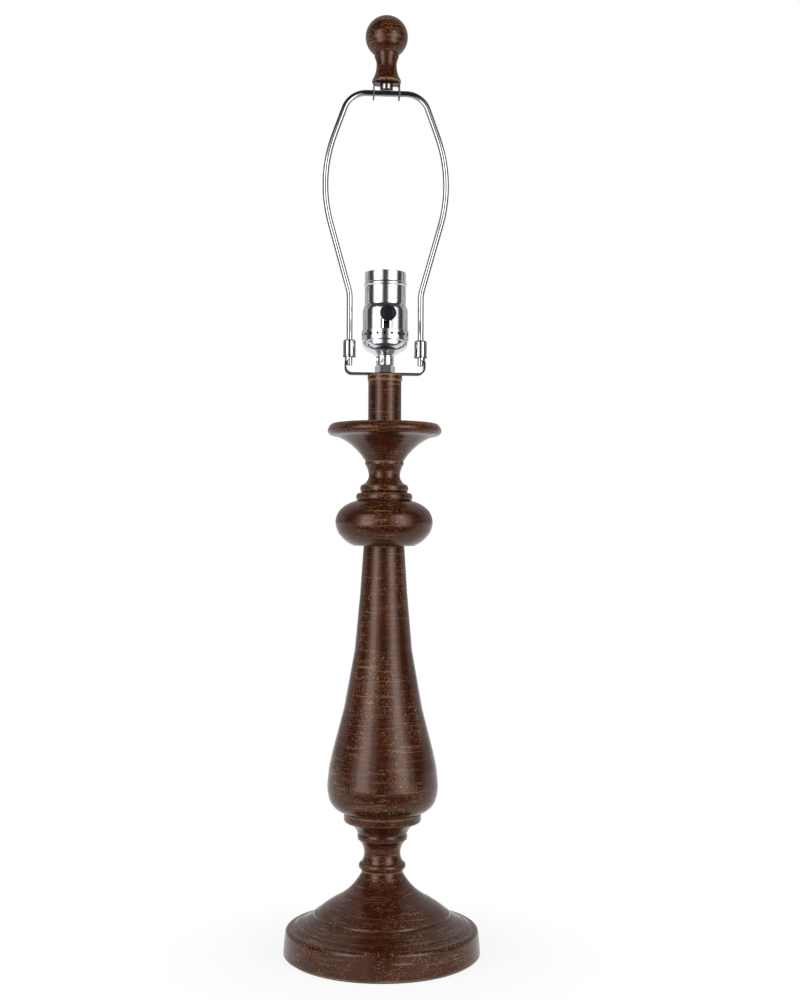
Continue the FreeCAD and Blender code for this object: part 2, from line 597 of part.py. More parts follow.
def make_terminals():
    """The two wire terminals, one screw on each side of the boss."""
    body = add_body("terminal_screws", FLANGE_FLOOR + " - terminal_height")
    shank_length = "terminal_length + screw_clearance + terminal_head_length"
    for side, sign, turn in SIDES:
        add_form(body, "AdditiveCylinder", side + "_terminal_shank",
                 (sign + "(boss_radius - terminal_length)", "0", "0"), turn,
                 Radius="terminal_radius", Height=shank_length)
        add_form(body, "AdditiveCylinder", side + "_terminal_head",
                 (sign + "(boss_radius + screw_clearance)", "0", "0"), turn,
                 Radius="terminal_head_radius", Height="terminal_head_length")


def make_contacts():
    """Screw shell for the bulb's cap, and the sprung tongue at its centre."""
    bore = "screw_shell_bore"
    wall, step = " + screw_shell_wall", "contact_rise + contact_thickness * 2"
    turned_piece("screw_shell", [
        ("screw_shell_eye", "0"),
        ("screw_shell_seat" + wall, "0"),
        ("screw_shell_seat" + wall, step),
        (bore + wall, step + wall),
        (bore + wall, "screw_shell_height"),
        (bore, "screw_shell_height"),
        (bore, step + wall + wall),
        ("screw_shell_seat", step + wall),
        ("screw_shell_seat", "screw_shell_wall"),
        ("screw_shell_eye", "screw_shell_wall"),
    ], INTERIOR_TOP)
    tongue = add_body("centre_contact", INTERIOR_TOP, across="-contact_foot - contact_thickness")
    leaf = draw_outline(add_sketch(tongue, "XZ_Plane", "contact_leaf"), [
        ("0", "0"),
        ("contact_foot", "0"),
        ("contact_foot + contact_reach", "contact_rise"),
        ("contact_foot + contact_reach", "contact_rise + contact_thickness"),
        ("contact_foot", "contact_thickness"),
        ("0", "contact_thickness"),
    ])
    pad(tongue, leaf, "contact_strip", "contact_width", both_ways=True)


def make_key():
    """Switch rotor on its shaft, and the turn knob pressed on the shaft's end."""
    rotor = turned_piece("key_rotor", [
        ("0", "0"),
        ("rotor_radius", "0"),
        ("rotor_radius", "rotor_back + rotor_front"),
        ("shaft_radius", "rotor_back + rotor_front"),
        ("shaft_radius", "rotor_back + knob_tip - shaft_end_gap"),
        ("0", "rotor_back + knob_tip - shaft_end_gap"),
    ], KEY_AXIS, turned=FORWARD)
    rotor.setExpression("Placement.Base.y", tied("rotor_back"))
    flat = "rotor_radius * 0.7"
    for side, start in (("left", "-rotor_radius - " + flat), ("right", flat)):
        add_form(rotor, "SubtractiveBox", side + "_cam_flat",
                 (start, "-rotor_radius", "rotor_back"),
                 Length="rotor_radius", Width="rotor_radius * 2", Height="rotor_front / 2")
    bore = "shaft_radius + thread_clearance"
    flare = "knob_tip - knob_flare_length"
    turned_piece("turn_knob", [
        (bore, "knob_root"),
        ("knob_stem_radius", "knob_root"),
        ("knob_stem_radius", flare + " - knob_flare_length / 2"),
        ("knob_radius", flare + " + knob_flare_length / 2", -0.12),
        ("knob_radius", "knob_tip - knob_round"),
        ("knob_radius - knob_round", "knob_tip", QUARTER_TURN),
        ("knob_dish_radius", "knob_tip"),
        ("0", "knob_tip - knob_dish_depth", -0.1),
        ("0", "knob_tip - shaft_end_gap + thread_clearance"),
        (bore, "knob_tip - shaft_end_gap + thread_clearance"),
    ], KEY_AXIS, turned=FORWARD)


# ---------------------------------------------------------------- harp
def draw_bent_path(sketch, corners):
    """An open path of straight runs joined by tangent arcs. An end is (across, up), and a corner
    is (across, up, bend radius). Each run points through its two corners."""
    places = [Vector(number(corner[0]), number(corner[1]), 0) for corner in corners]
    bends = []
    for index in range(1, len(corners) - 1):
        back = (places[index - 1] - places[index]).normalize()
        ahead = (places[index + 1] - places[index]).normalize()
        half = back.getAngle(ahead) / 2
        radius = number(corners[index][2])
        inward = (back + ahead).normalize()
        bends.append((places[index] + back * (radius / math.tan(half)),
                      places[index] + inward * (radius / math.sin(half) - radius),
                      places[index] + ahead * (radius / math.tan(half))))
    stops = [places[0]] + [stop for first, _, last in bends for stop in (first, last)] + [places[-1]]
    runs = [sketch.addGeometry(Part.LineSegment(stops[2 * index], stops[2 * index + 1]), False)
            for index in range(len(bends) + 1)]
    hold(sketch, runs[0], 1, corners[0][0], corners[0][1])
    hold(sketch, runs[-1], 2, corners[-1][0], corners[-1][1])
    for index, (first, middle, last) in enumerate(bends):
        corner = corners[index + 1]
        arc = sketch.addGeometry(Part.Arc(first, middle, last), False)
        across = (last - first).cross(middle - first).z
        begin, finish = (1, 2) if across < 0 else (2, 1)
        mark = sketch.addGeometry(Part.Point(places[index + 1]), True)
        hold(sketch, mark, 1, corner[0], corner[1])
        sketch.addConstraint(Sketcher.Constraint("PointOnObject", mark, 1, runs[index]))
        sketch.addConstraint(Sketcher.Constraint("PointOnObject", mark, 1, runs[index + 1]))
        sketch.addConstraint(Sketcher.Constraint("Tangent", runs[index], 2, arc, begin))
        sketch.addConstraint(Sketcher.Constraint("Tangent", arc, finish, runs[index + 1], 1))
        bend = sketch.addConstraint(Sketcher.Constraint("Radius", arc, number(corner[2])))
        sketch.setExpression("Constraints[%d]" % bend, tied(corner[2]))
    return sketch


def make_harp():
    """One bent wire: straight feet, an elbow, a wide bow and a flat top, the same on both sides."""
    body = add_body("harp_wire", WIRE_END)
    path = draw_bent_path(add_sketch(body, "XZ_Plane", "harp_path"), [
        ("harp_leg", "0"),
        ("harp_leg", "harp_leg_height", "harp_elbow_radius"),
        ("harp_bow", "harp_bow_height", "harp_bow_radius"),
        ("harp_corner", "harp_height", "harp_corner_radius"),
        ("0", "harp_height"),
    ])
    section = add_sketch(body, "XY_Plane", "wire_section")
    circle = section.addGeometry(Part.Circle(Vector(number("harp_leg"), 0, 0), Vector(0, 0, 1),
                                             number("wire_radius")), False)
    hold(section, circle, 3, "harp_leg", "0")
    size = section.addConstraint(Sketcher.Constraint("Radius", circle, number("wire_radius")))
    section.setExpression("Constraints[%d]" % size, tied("wire_radius"))
    half = body.newObject("PartDesign::AdditivePipe", "harp_half")
    half.Profile = section
    half.Spine = (path, [])
    mirror_across(body, half, "harp_other_half")


def make_ferrule(label, across):
    """Sleeve that slides down over the channel and the harp's foot, and locks them together."""
    wire_hole = "wire_radius + ferrule_clearance"
    turned_piece(label, [
        (FERRULE_BORE, "0"),
        ("ferrule_radius + ferrule_lip", "0"),
        ("ferrule_radius", "ferrule_lip_height"),
        ("ferrule_radius", "ferrule_length - ferrule_round"),
        ("ferrule_radius - ferrule_round", "ferrule_length", QUARTER_TURN),
        (wire_hole, "ferrule_length"),
        (wire_hole, "ferrule_length - ferrule_top_wall"),
        (FERRULE_BORE, "ferrule_length - ferrule_top_wall"),
    ], FERRULE_FLOOR, across)


def make_top_fitting():
    """Bracket pierced by the harp's top bar, with the stud that its plate holds."""
    floor = WIRE_END + " + harp_height - wire_radius - bracket_below_wire"
    rise = "wire_radius * 2 + bracket_below_wire + bracket_above_wire"
    body = add_body("harp_top_bracket", floor)
    outside, inside = "bracket_span / 2", "bracket_span / 2 - bracket_thickness"
    section = draw_outline(add_sketch(body, "XZ_Plane", "bracket_section"), [
        (inside, "0"),
        (outside, "0"),
        (outside, rise + " - bracket_bend"),
        (outside + " - bracket_bend", rise, QUARTER_TURN),
        ("0", rise),
        ("0", rise + " - bracket_thickness"),
        (outside + " - bracket_bend", rise + " - bracket_thickness"),
        (inside, rise + " - bracket_bend", -QUARTER_TURN),
    ])
    half = pad(body, section, "bracket_half", "bracket_width", both_ways=True)
    mirror_across(body, half, "bracket_other_half")
    add_form(body, "SubtractiveCylinder", "wire_hole",
             ("-bracket_span", "0", "bracket_below_wire + wire_radius"), SIDEWAYS,
             Radius="wire_radius + thread_clearance", Height="bracket_span * 2")
    add_form(body, "SubtractiveCylinder", "stud_hole", ("0", "0", rise + " - bracket_thickness * 2"),
             Radius="stud_radius + thread_clearance", Height="bracket_thickness * 3")
    head = "bracket_above_wire - bracket_thickness - stud_head_gap"
    turned_piece("finial_stud", [
        ("0", "0"),
        ("stud_head_radius", "0"),
        ("stud_head_radius", head),
        ("stud_radius", head),
        ("stud_radius", head + " + bracket_thickness + stud_length"),
        ("0", head + " + bracket_thickness + stud_length"),
    ], BRACKET_TOP + " - bracket_thickness - (%s)" % head)


def make_finial():
    """Turned ball finial with a tapped insert that runs on the stud."""
    ball_floor = "finial_ball_height - sqrt(finial_ball_radius ^ 2 - finial_shoulder_radius ^ 2)"
    insert_hole = "insert_radius + insert_clearance"
    turned_piece("finial", [
        (insert_hole, "0"),
        ("finial_foot_radius", "0"),
        ("finial_foot_radius", "finial_foot_height"),
        ("finial_neck_radius", "finial_neck_height", -0.15),
        ("finial_shoulder_radius", "finial_shoulder_height", -0.1),
        ("finial_shoulder_radius", ball_floor),
        ("finial_ball_radius", "finial_ball_height", 0.24),
        ("0", "finial_ball_height + finial_ball_radius", QUARTER_TURN),
        ("0", "insert_length + insert_top_gap"),
        (insert_hole, "insert_length + insert_top_gap"),
    ], FINIAL_FLOOR)
    turned_piece("finial_insert", [
        ("stud_radius + stud_clearance", "0"),
        ("insert_radius", "0"),
        ("insert_radius", "insert_length"),
        ("stud_radius + stud_clearance", "insert_length"),
    ], FINIAL_FLOOR)


# ---------------------------------------------------------------- the lamp
make_felt()
make_base()
make_bushing()
make_weight()
make_pipe_and_fastening()
make_spool()
make_vase()
make_knop()
make_pan()
make_tube()
make_saddle()
make_socket_cap()
make_socket_shell()
make_interior()
make_terminals()
make_contacts()
make_key()
make_harp()
make_ferrule("ferrule_left", "-harp_leg")
make_ferrule("ferrule_right", "harp_leg")
make_top_fitting()
make_finial()
doc.recompute()

for item in doc.Objects:
    if "Invalid" in item.State or "Error" in item.State:
        raise RuntimeError("%s failed: %s" % (item.Label, item.State))
bodies = [item for item in doc.Objects if item.isDerivedFrom("PartDesign::Body")]
for body in bodies:
    if body.Shape.isNull() or not body.Shape.isValid():
        raise RuntimeError(body.Label + " has no valid shape")
os.makedirs("parts", exist_ok=True)
for body in bodies:
    body.Shape.exportStep("parts/%s.step" % body.Label)
    print("%-18s %d solid %10.1f mm3" % (body.Label, len(body.Shape.Solids), body.Shape.Volume))
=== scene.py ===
"""Finish and fine detail of a candlestick table lamp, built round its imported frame.

Turned and painted pieces are spun from the same outlines as the frame's solids, the harp is a
smooth bent wire, and the socket gets its thread, dimples and slot. The outlines and the tables
beside them are in millimetres, and everything else is in metres.
"""
import bisect
import json
import math

import bmesh
import bpy
from bpy.props import FloatProperty, FloatVectorProperty, IntProperty, PointerProperty
from mathutils import Matrix, Vector


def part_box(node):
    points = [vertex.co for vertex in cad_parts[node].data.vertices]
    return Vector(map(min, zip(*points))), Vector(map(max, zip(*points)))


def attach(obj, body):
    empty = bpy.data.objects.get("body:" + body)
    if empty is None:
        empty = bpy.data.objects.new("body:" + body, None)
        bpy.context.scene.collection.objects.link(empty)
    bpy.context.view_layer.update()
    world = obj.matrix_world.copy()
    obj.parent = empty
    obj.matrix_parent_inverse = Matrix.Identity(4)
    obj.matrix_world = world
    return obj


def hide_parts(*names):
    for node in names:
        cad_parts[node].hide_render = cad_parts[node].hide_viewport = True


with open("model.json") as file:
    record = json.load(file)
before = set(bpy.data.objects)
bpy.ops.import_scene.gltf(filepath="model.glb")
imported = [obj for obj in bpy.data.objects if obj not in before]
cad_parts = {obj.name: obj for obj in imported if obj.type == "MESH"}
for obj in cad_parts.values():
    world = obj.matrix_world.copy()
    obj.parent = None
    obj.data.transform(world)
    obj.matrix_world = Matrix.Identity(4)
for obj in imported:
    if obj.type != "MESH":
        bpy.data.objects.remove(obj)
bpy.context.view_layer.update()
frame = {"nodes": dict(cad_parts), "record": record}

bl_info = {
    "name": "Candlestick lamp",
    "version": (1, 0, 0),
    "blender": (4, 5, 0),
    "location": "3D View > Sidebar > Lamp",
    "description": "Builds the finished pieces of a candlestick table lamp round its frame",
    "category": "Object",
}

MM = 0.001
COLUMN, KEY, HARP = "lamp_column", "switch_key", "harp"      # the bodies that carry most pieces

HIDDEN_RADIUS = 6 * MM                # bores narrower than this are never seen
HOLLOW_REACH = 1.6 * MM               # how far each way along an outline its bend is measured
MERGED = 1e-6                         # points nearer than this are one
ON_AXIS = 1e-7                        # a radius under this is nothing
CREASE = math.radians(32)             # edges that bend more are shown sharp
THREAD_CREASE = math.radians(50)      # the same on rolled threads, which stay smooth
STRIP_CREASE = math.radians(40)       # and on bent strip, whose sharp edges are softened
FLAT_ANGLE = math.radians(1.5)        # faces that bend less become one flat face
RIGHT_ANGLE = math.radians(90)
UPRIGHT = Matrix.Identity(4)
FORWARD = Matrix.Rotation(RIGHT_ANGLE, 4, "X")       # a spun piece's own axis turned to -Y
BACKWARD = Matrix.Rotation(-RIGHT_ANGLE, 4, "X")     # and to +Y


def linear(hex_colour):
    """An sRGB hex colour as the linear values that a shader takes."""
    parts = [int(hex_colour[i:i + 2], 16) / 255 for i in (0, 2, 4)]
    return tuple(p / 12.92 if p <= 0.04045 else ((p + 0.055) / 1.055) ** 2.4 for p in parts)


def floor_of(node):
    """The lowest height of a node."""
    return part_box(node)[0][2]


def middle_of(node):
    """The middle of a node's box."""
    low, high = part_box(node)
    return (Vector(low) + Vector(high)) / 2


# ------------------------------------------------------------------ sizes and colours
def length(name, description, millimetres):
    """A length that a user can change."""
    return FloatProperty(name=name, description=description, default=millimetres * MM,
                         unit="LENGTH")


def angle(name, description, degrees):
    """An angle that a user can change."""
    return FloatProperty(name=name, description=description, default=math.radians(degrees),
                         unit="ROTATION")


def tint(name, description, hex_colour):
    """A colour that a user can change."""
    return FloatVectorProperty(name=name, description=description, default=linear(hex_colour),
                               subtype="COLOR")


class LampSizes(bpy.types.PropertyGroup):
    """Sizes of the turnings and of the fine detail on the metal"""
    turning_steps: IntProperty(
        name="Turning steps", description="Faces round a turned piece", default=160, min=24)
    dimples: IntProperty(
        name="Cap dimples", description="Pressed dimples round the socket cap's band",
        default=20, min=0)
    arc_angle: angle("Arc step", "Largest turn of one step on an arc", 7)
    wire_radius: length("Harp wire", "Radius of the harp's wire", 2.4)
    thread_pitch: length("Bulb thread pitch", "Rise of one turn of the bulb thread", 3.63)
    thread_depth: length("Bulb thread depth", "Half of the rolled thread's depth", 0.35)
    dimple_depth: length("Dimple depth", "Depth of each pressed dimple", 0.5)
    edge: length("Edge softening", "Width of the small bevels on pressed metal", 0.16)


class LampColours(bpy.types.PropertyGroup):
    """Colours of the paint, the metals and the inner pieces"""
    paint: tint("Paint", "Brown ground coat", "2E0F06")
    # the glaze's colour, which also paints the shade in the hollows of the turnings
    glaze_and_hollow_shade: tint("Dark glaze", "Glaze left in hollows", "190802")
    paint_red: tint("Red brown", "Warmer patches of the ground coat", "3D1809")
    rub: tint("Rubbed gold", "Tan gold that shows in scratches and flecks", "AE865C")
    lacquer: tint("Lacquer", "Tint of the lacquer's gloss", "FFE0D4")
    nickel: tint("Nickel", "Bright plated metal", "ACACAF")
    satin: tint("Satin nickel", "Plate on the socket's pressings", "DADADF")
    # painted shade: the dark colour inside the punched marks and the driver's slot
    recess_shade: tint("Tarnish", "Bottom of the punched marks", "19191B")
    zinc: tint("Zinc", "Plate on the pipe, nut and stud", "8F8D8A")
    aluminium: tint("Aluminium", "The bulb's screw shell", "D9DADB")
    brass: tint("Brass", "Contacts and insert", "D2AE63")
    black: tint("Black moulding", "Moulded knob and insulators", "131418")
    black_pale: tint("Moulding streaks", "Paler streaks in the moulding", "1C1D22")
    board: tint("Liner board", "Pressed paper liner", "9A7B52")
    board_dark: tint("Board fibres", "Darker fibres in the liner", "77603F")
    iron: tint("Cast iron", "The foot's weight", "2C2C2E")
    iron_pale: tint("Iron grains", "Paler grains of the casting", "4A4745")
    felt: tint("Felt", "Pad under the foot", "2B4A37")


class StageSettings(bpy.types.PropertyGroup):
    """Where the camera stands, and how bright the studio is"""
    lens: FloatProperty(
        name="Lens", description="Focal length on a 36 mm sensor", default=50.9, min=10)
    distance: length("Distance", "From the lamp's axis to the camera", 1150)
    eye_height: length("Eye height", "Camera's height over the floor", 334.2)
    azimuth: angle("Azimuth", "Camera's bearing round the lamp", -4)
    pitch: angle("Pitch", "How far the camera looks up", 1.62)
    aside: angle("Aside", "How far the camera looks to the lamp's right", 0.64)
    roll: angle("Roll", "Lean of the camera", 0.30)
    softbox_light: FloatProperty(
        name="Softbox brightness", description="1 shows a softbox as plain white", default=1.25)
    middle_light: FloatProperty(
        name="Softbox middle", description="What the softbox's middle adds", default=3.4)
    fill_light: FloatProperty(
        name="Fill brightness", description="Even light from all round", default=0.3)


# ------------------------------------------------------------------ outlines, in millimetres
# A corner is (radius, height) or (radius, height, bulge): the bulge bends the edge that arrives
# there, as the tangent of a quarter of its angle, and is positive where the edge swells outwards.
QUARTER = 0.4142            # bulge of a quarter circle
HALF_ROUND = 1.0            # bulge of half a circle
BORE = 5.15                 # radius of the column's bore, round the threaded pipe

FOOT = [
    (60.0, 0), (77.7, 0), (79.2, 1.5, QUARTER), (77.75, 17.8), (76.4, 20.7, 0.22),
    (74.2, 21.7, 0.16), (72.4, 21.9, -0.1), (68.4, 23.9, -0.05), (67.2, 24.3, 0.2),
    (55.2, 30.9, -0.05), (54.5, 32.3, -0.2), (53.5, 33.0, 0.25), (39.8, 42.7, 0.052),
    (16.7, 64.8, -0.166), (16.7, 66.7), (16.4, 67.0, QUARTER), (BORE, 67.0), (BORE, 16.0),
    (60.0, 16.0),
]
FELT = [(0, 0), (75.7, 0), (76.2, 0.5, QUARTER), (76.2, 1.5), (0, 1.5)]
SPOOL = [
    (BORE, 0), (16.4, 0), (16.7, 0.25, QUARTER), (16.7, 6.4, 0.75), (14.6, 14.3, -0.142),
    (19.8, 24.5, -0.222), (19.8, 29.2, 0.167), (29.1, 37.9, -0.26), (31.2, 40.0, 0.3),
    (31.2, 44.5), (30.9, 44.8, QUARTER), (BORE, 44.8),
]
VASE = [
    (BORE, 0), (30.8, 0), (30.8, 1.0), (42.5, 10.3, 0.223), (44.7, 24.1, 0.1),
    (40.6, 50.7, 0.058), (31.8, 84.4), (19.1, 177.8, -0.044), (16.6, 215.6),
    (16.2, 216.0, QUARTER), (BORE, 216.0),
]
KNOP = [
    (BORE, 0), (24.3, 0), (36.8, 10.0, 0.152), (39.5, 19.2, 0.131), (35.2, 30.0, 0.196),
    (23.0, 36.6, 0.123), (22.0, 36.6), (22.0, 42.5, 0.3), (18.7, 43.5), (18.7, 49.4, 0.3),
    (12.6, 57.5, -0.327), (14.9, 65.2, -0.09), (15.6, 66.0, 0.2), (15.6, 68.3, 0.1),
    (15.2, 68.7), (BORE, 68.7),
]
PAN = [
    (BORE, 0), (15.3, 0), (15.7, 0.4, QUARTER), (37.3, 19.7, -0.152), (43.1, 21.0),
    (46.4, 24.7, 0.3), (43.1, 30.3, 0.2), (41.8, 28.65, 0.3), (38.5, 24.0, -0.2), (BORE, 24.0),
]
CANDLE = [(11.7, 0), (13.5, 0), (13.5, 41.8), (11.7, 41.8)]
CANDLE_CAP = [
    (BORE, 0), (11.6, 0), (11.6, 5.0), (13.8, 5.0), (14.1, 5.3, QUARTER), (14.1, 9.0),
    (13.1, 10.0, QUARTER), (BORE, 10.0),
]
FINIAL = [
    (5.25, 0), (11.3, 0), (11.9, 0.6, QUARTER), (11.8, 2.2, 0.1), (8.3, 15.6, -0.15),
    (9.8, 21.2, -0.1), (10.0, 23.2, 0.1), (10.4, 24.15), (17.4, 38.1, 0.24),
    (0, 55.5, QUARTER), (0, 17.8), (5.25, 17.8),
]
SOCKET_CAP = [
    (5.04, 0), (7.05, 0), (7.3, 0.25, QUARTER), (7.3, 7.2), (14.4, 11.6, -0.08),
    (18.3, 18.8, 0.25), (19.1, 19.7, -0.1), (19.1, 27.7), (18.8, 28.0, QUARTER), (18.5, 28.0),
    (18.5, 19.9), (18.0, 19.4), (13.8, 12.2, -0.25), (7.3, 9.0), (5.04, 9.0),
]
SOCKET_SHELL = [
    (17.9, 0), (18.4, 0), (18.4, 22.4), (16.75, 27.2, 0.12), (16.75, 42.6), (16.75, 45.9, 0.4),
    (16.75, 53.9), (16.5, 54.2, QUARTER), (16.25, 53.95, QUARTER), (16.25, 45.9),
    (16.25, 42.6, -0.4), (16.25, 27.2), (17.9, 22.4, -0.12),
]
LINER = [(15.35, 0), (16.15, 0), (16.15, 50.0), (15.35, 50.0)]
SCREW_SHELL = [
    (6.4, 0), (11.95, 0), (11.95, 3.6), (13.55, 3.95), (13.55, 25.6), (13.2, 25.6), (13.2, 4.3),
    (11.6, 3.95), (11.6, 0.35), (6.4, 0.35),
]
SET_SCREW = [
    (0, 5.05), (1.5, 5.05), (1.5, 7.8), (2.7, 7.8), (2.7, 9.3), (2.4, 9.6, 0.3), (2.1, 9.6),
    (1.7, 9.1), (0, 9.1),
]
KNOB = [
    (2.24, 20.8), (4.2, 20.8), (4.5, 21.1, QUARTER), (4.5, 26.6), (6.5, 32.2, -0.12),
    (6.6, 34.2), (5.8, 35.0, QUARTER), (4.3, 35.0), (4.1, 34.8, -0.3), (3.4, 33.4), (0, 33.4),
    (0, 32.84), (2.24, 32.84),
]
FERRULE = [
    (3.95, 0), (5.3, 0), (5.15, 0.9, 0.2), (5.0, 1.3, -0.2), (5.0, 12.3), (3.4, 13.9, QUARTER),
    (2.6, 13.9), (2.6, 12.4), (3.95, 12.4),
]
BUSHING = [
    (3.1, 60.0), (4.15, 60.0), (4.15, 76.6), (5.6, 76.6), (6.0, 77.0, QUARTER), (6.0, 77.6),
    (5.6, 78.0, QUARTER), (3.5, 78.0), (3.1, 77.6, -QUARTER),
]
STUD = [
    (0, 0), (4.9, 0), (5.3, 0.4, QUARTER), (5.3, 4.1), (4.9, 4.5, QUARTER), (3.17, 4.5),
    (3.17, 22.1), (2.77, 22.5, QUARTER), (0, 22.5),
]

# Half of the harp's wire, from its foot to the middle of its top: (across, up, bend radius).
HARP_ROUTE = [
    (29.1, 0), (29.1, 58.8, 29.6), (55.5, 152.8, 120.0), (29.7, 223.9, 19.0), (0, 223.9),
]
# The cord's hole through the foot and the recess for its bushing: (radius, from, to), along +Y.
CORD_HOLE = ((4.2, 30.0, 90.0), (6.05, 76.6, 90.0))
# The slot for the turn knob's shaft, open at its foot: (across, up from the shaft).
KEY_SLOT = [(-4.9, -20.0), (4.9, -20.0), (4.9, 0.0), (-4.9, 0.0, HALF_ROUND)]
KEY_SLOT_DEPTH = 30.0
# The strips that guide the shaft: (across, up, width, height, turn in degrees). They stand this
# far in front of the lamp's axis and over the insulator's floor.
GUIDE_STRIPS = ((-3.1, 7.5, 1.2, 15.0, -20), (3.1, 7.5, 1.2, 15.0, 20), (0, 0.2, 7.1, 0.4, 0))
GUIDE_THICKNESS, GUIDE_FORWARD, GUIDE_UP = 0.3, 16.8, 8.8
# The dimples round the cap's band: its radius, how far they lie under its top edge, the bearing
# of the first in degrees, and the radii at a dimple's bottom and mouth.
BAND_RADIUS, DIMPLE_DROP, DIMPLE_BEARING = 19.1, 3.8, -95
DIMPLE_BOTTOM, DIMPLE_MOUTH = 0.6, 1.8
# The two pressed rounds on the cap's shoulder: their bearings and lean in degrees, where the
# shoulder's wall is, and the ball that presses them with how far outside the wall it sits.
ROUND_BEARINGS, ROUND_LEAN = (-145, -35), 28
SHOULDER_RADIUS, SHOULDER_HEIGHT = 17.3, 15.0
BALL_RADIUS, BALL_OUTSIDE = 3.8, 3.45
# The set screw's bearing in degrees, and its driver's slot: width, length, depth and middle.
SET_SCREW_BEARING = -36
DRIVER_SLOT, DRIVER_OUT = (1.3, 8, 2.1), 9.75
# Where each thread begins and ends, over the foot of its own piece, and the stud's thread.
BULB_THREAD_FROM, BULB_THREAD_TO, BULB_THREAD_STEP = 5.5, 24.0, 0.5
STUD_THREAD_FROM, STUD_THREAD_TO, STUD_THREAD_STEP = 5.8, 21.8, 0.22
STUD_PITCH, STUD_DEPTH = 0.94, 0.16
# Faces round the pieces and cuts that aren't turned at the column's own number.
SOCKET_STEPS, SCREW_SHELL_STEPS, NUT_STEPS, KNOB_STEPS = 180, 96, 96, 96
SLEEVE_STEPS, STUD_STEPS, HOLE_STEPS, SET_SCREW_STEPS, DIMPLE_STEPS = 72, 64, 48, 40, 24


# ------------------------------------------------------------------ forms
def points_along(outline):
    """An outline's corners with each arc cut into short steps, in metres."""
    arc_angle = bpy.context.scene.lamp_sizes.arc_angle
    points = []
    for index, corner in enumerate(outline):
        finish = Vector(corner[:2])
        if len(corner) == 3 and index > 0:
            begin = Vector(outline[index - 1][:2])
            turn = 4 * math.atan(corner[2])
            chord = finish - begin
            outwards = Vector((-chord.y, chord.x))
            centre = (begin + finish) / 2 + outwards / (2 * math.tan(turn / 2))
            steps = max(2, math.ceil(abs(turn) / arc_angle))
            for step in range(1, steps):
                points.append(centre + Matrix.Rotation(turn * step / steps, 2) @ (begin - centre))
        points.append(finish)
    return [point * MM for point in points]


def finished(name, bm, material, crease=CREASE):
    """Make the object of a bmesh, with smooth shading broken at its creases."""
    mesh = bpy.data.meshes.new(name)
    bm.to_mesh(mesh)
    bm.free()
    mesh.shade_smooth()
    mesh.set_sharp_from_angle(angle=crease)
    piece = bpy.data.objects.new(name, mesh)
    bpy.context.scene.collection.objects.link(piece)
    mesh.materials.append(material)
    return piece


def placed(piece, node, body):
    """Put a piece on its body in the place of a node."""
    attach(piece, body)
    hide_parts(node)
    return piece


def spun(outline, steps, longest=2 * MM):
    """Spin half of a section into a closed solid, in steps no longer than given. Each point
    keeps how far along the outline it lies, and how hollow (+) or sharp (-) the outline is
    there, for the paint. A hidden bore stays plain, unless the steps are a thread's."""
    corners = points_along(outline)
    points = []
    for begin, finish in zip(corners, corners[1:] + corners[:1]):
        hidden = max(begin.x, finish.x) < HIDDEN_RADIUS and longest > MM
        pieces = 1 if hidden else max(1, math.ceil((finish - begin).length / longest))
        points += [begin.lerp(finish, step / pieces) for step in range(pieces)]
    runs = [0.0]
    for begin, finish in zip(points, points[1:] + points[:1]):
        runs.append(runs[-1] + (finish - begin).length)

    def place_at(run):
        run %= runs[-1]
        index = min(bisect.bisect_right(runs, run) - 1, len(points) - 1)
        share = (run - runs[index]) / max(runs[index + 1] - runs[index], 1e-9)
        return points[index].lerp(points[(index + 1) % len(points)], share)

    bm = bmesh.new()
    run_layer = bm.verts.layers.float.new("run")
    hollow_layer = bm.verts.layers.float.new("hollow")
    ring = []
    for point, run in zip(points, runs):
        vert = bm.verts.new((point.x, 0, point.y))
        way_in = (point - place_at(run - HOLLOW_REACH)).normalized()
        way_out = (place_at(run + HOLLOW_REACH) - point).normalized()
        vert[run_layer] = run
        vert[hollow_layer] = way_in.y * way_out.x - way_in.x * way_out.y
        ring.append(vert)
    edges = [bm.edges.new((ring[i - 1], ring[i])) for i in range(len(ring))
             if max(ring[i - 1].co.x, ring[i].co.x) > ON_AXIS]
    bmesh.ops.spin(bm, geom=ring + edges, cent=(0, 0, 0), axis=(0, 0, 1), angle=math.tau,
                   steps=steps, use_merge=True)
    bmesh.ops.remove_doubles(bm, verts=bm.verts, dist=MERGED)
    bmesh.ops.recalc_face_normals(bm, faces=bm.faces)
    return bm


def turned_piece(name, outline, node, body, slot, at=None, axis=UPRIGHT, steps=None, finish=None):
    """A spun piece that stands for a node, with its own zero at the place given. Its finish is
    its slot's, unless another is named."""
    bm = spun(outline, steps or bpy.context.scene.lamp_sizes.turning_steps)
    place = Matrix.Translation(at or (0, 0, floor_of(node)))
    bmesh.ops.transform(bm, matrix=place @ axis, verts=bm.verts)
    return placed(finished(name, bm, finish_of(finish or slot)), node, body)


def painted_turnings(*rows):
    """Turn painted pieces of the column: the name, outline and node of each."""
    for name, outline, node in rows:
        turned_piece(name, outline, node, COLUMN, "walnut_paint")


def threaded_piece(name, outline, steps, longest, thread, node, body, slot):
    """A spun piece with a thread rolled into its wall: (pitch, depth, from, to)."""
    bm = spun(outline, steps, longest)
    roll_thread(bm, *thread)
    bmesh.ops.translate(bm, verts=bm.verts, vec=(0, 0, floor_of(node)))
    return placed(finished(name, bm, finish_of(slot), THREAD_CREASE), node, body)


def roll_thread(bm, pitch, depth, low, high):
    """Push a spun wall in and out along a right-handed helix, fading out at its ends."""
    for vert in bm.verts:
        if low < vert.co.z < high:
            fade = min(1.0, (vert.co.z - low) / pitch, (high - vert.co.z) / pitch)
            wave = math.sin(math.tau * vert.co.z / pitch - math.atan2(vert.co.y, vert.co.x))
            vert.co += Vector((vert.co.x, vert.co.y, 0)).normalized() * (depth * fade * wave)


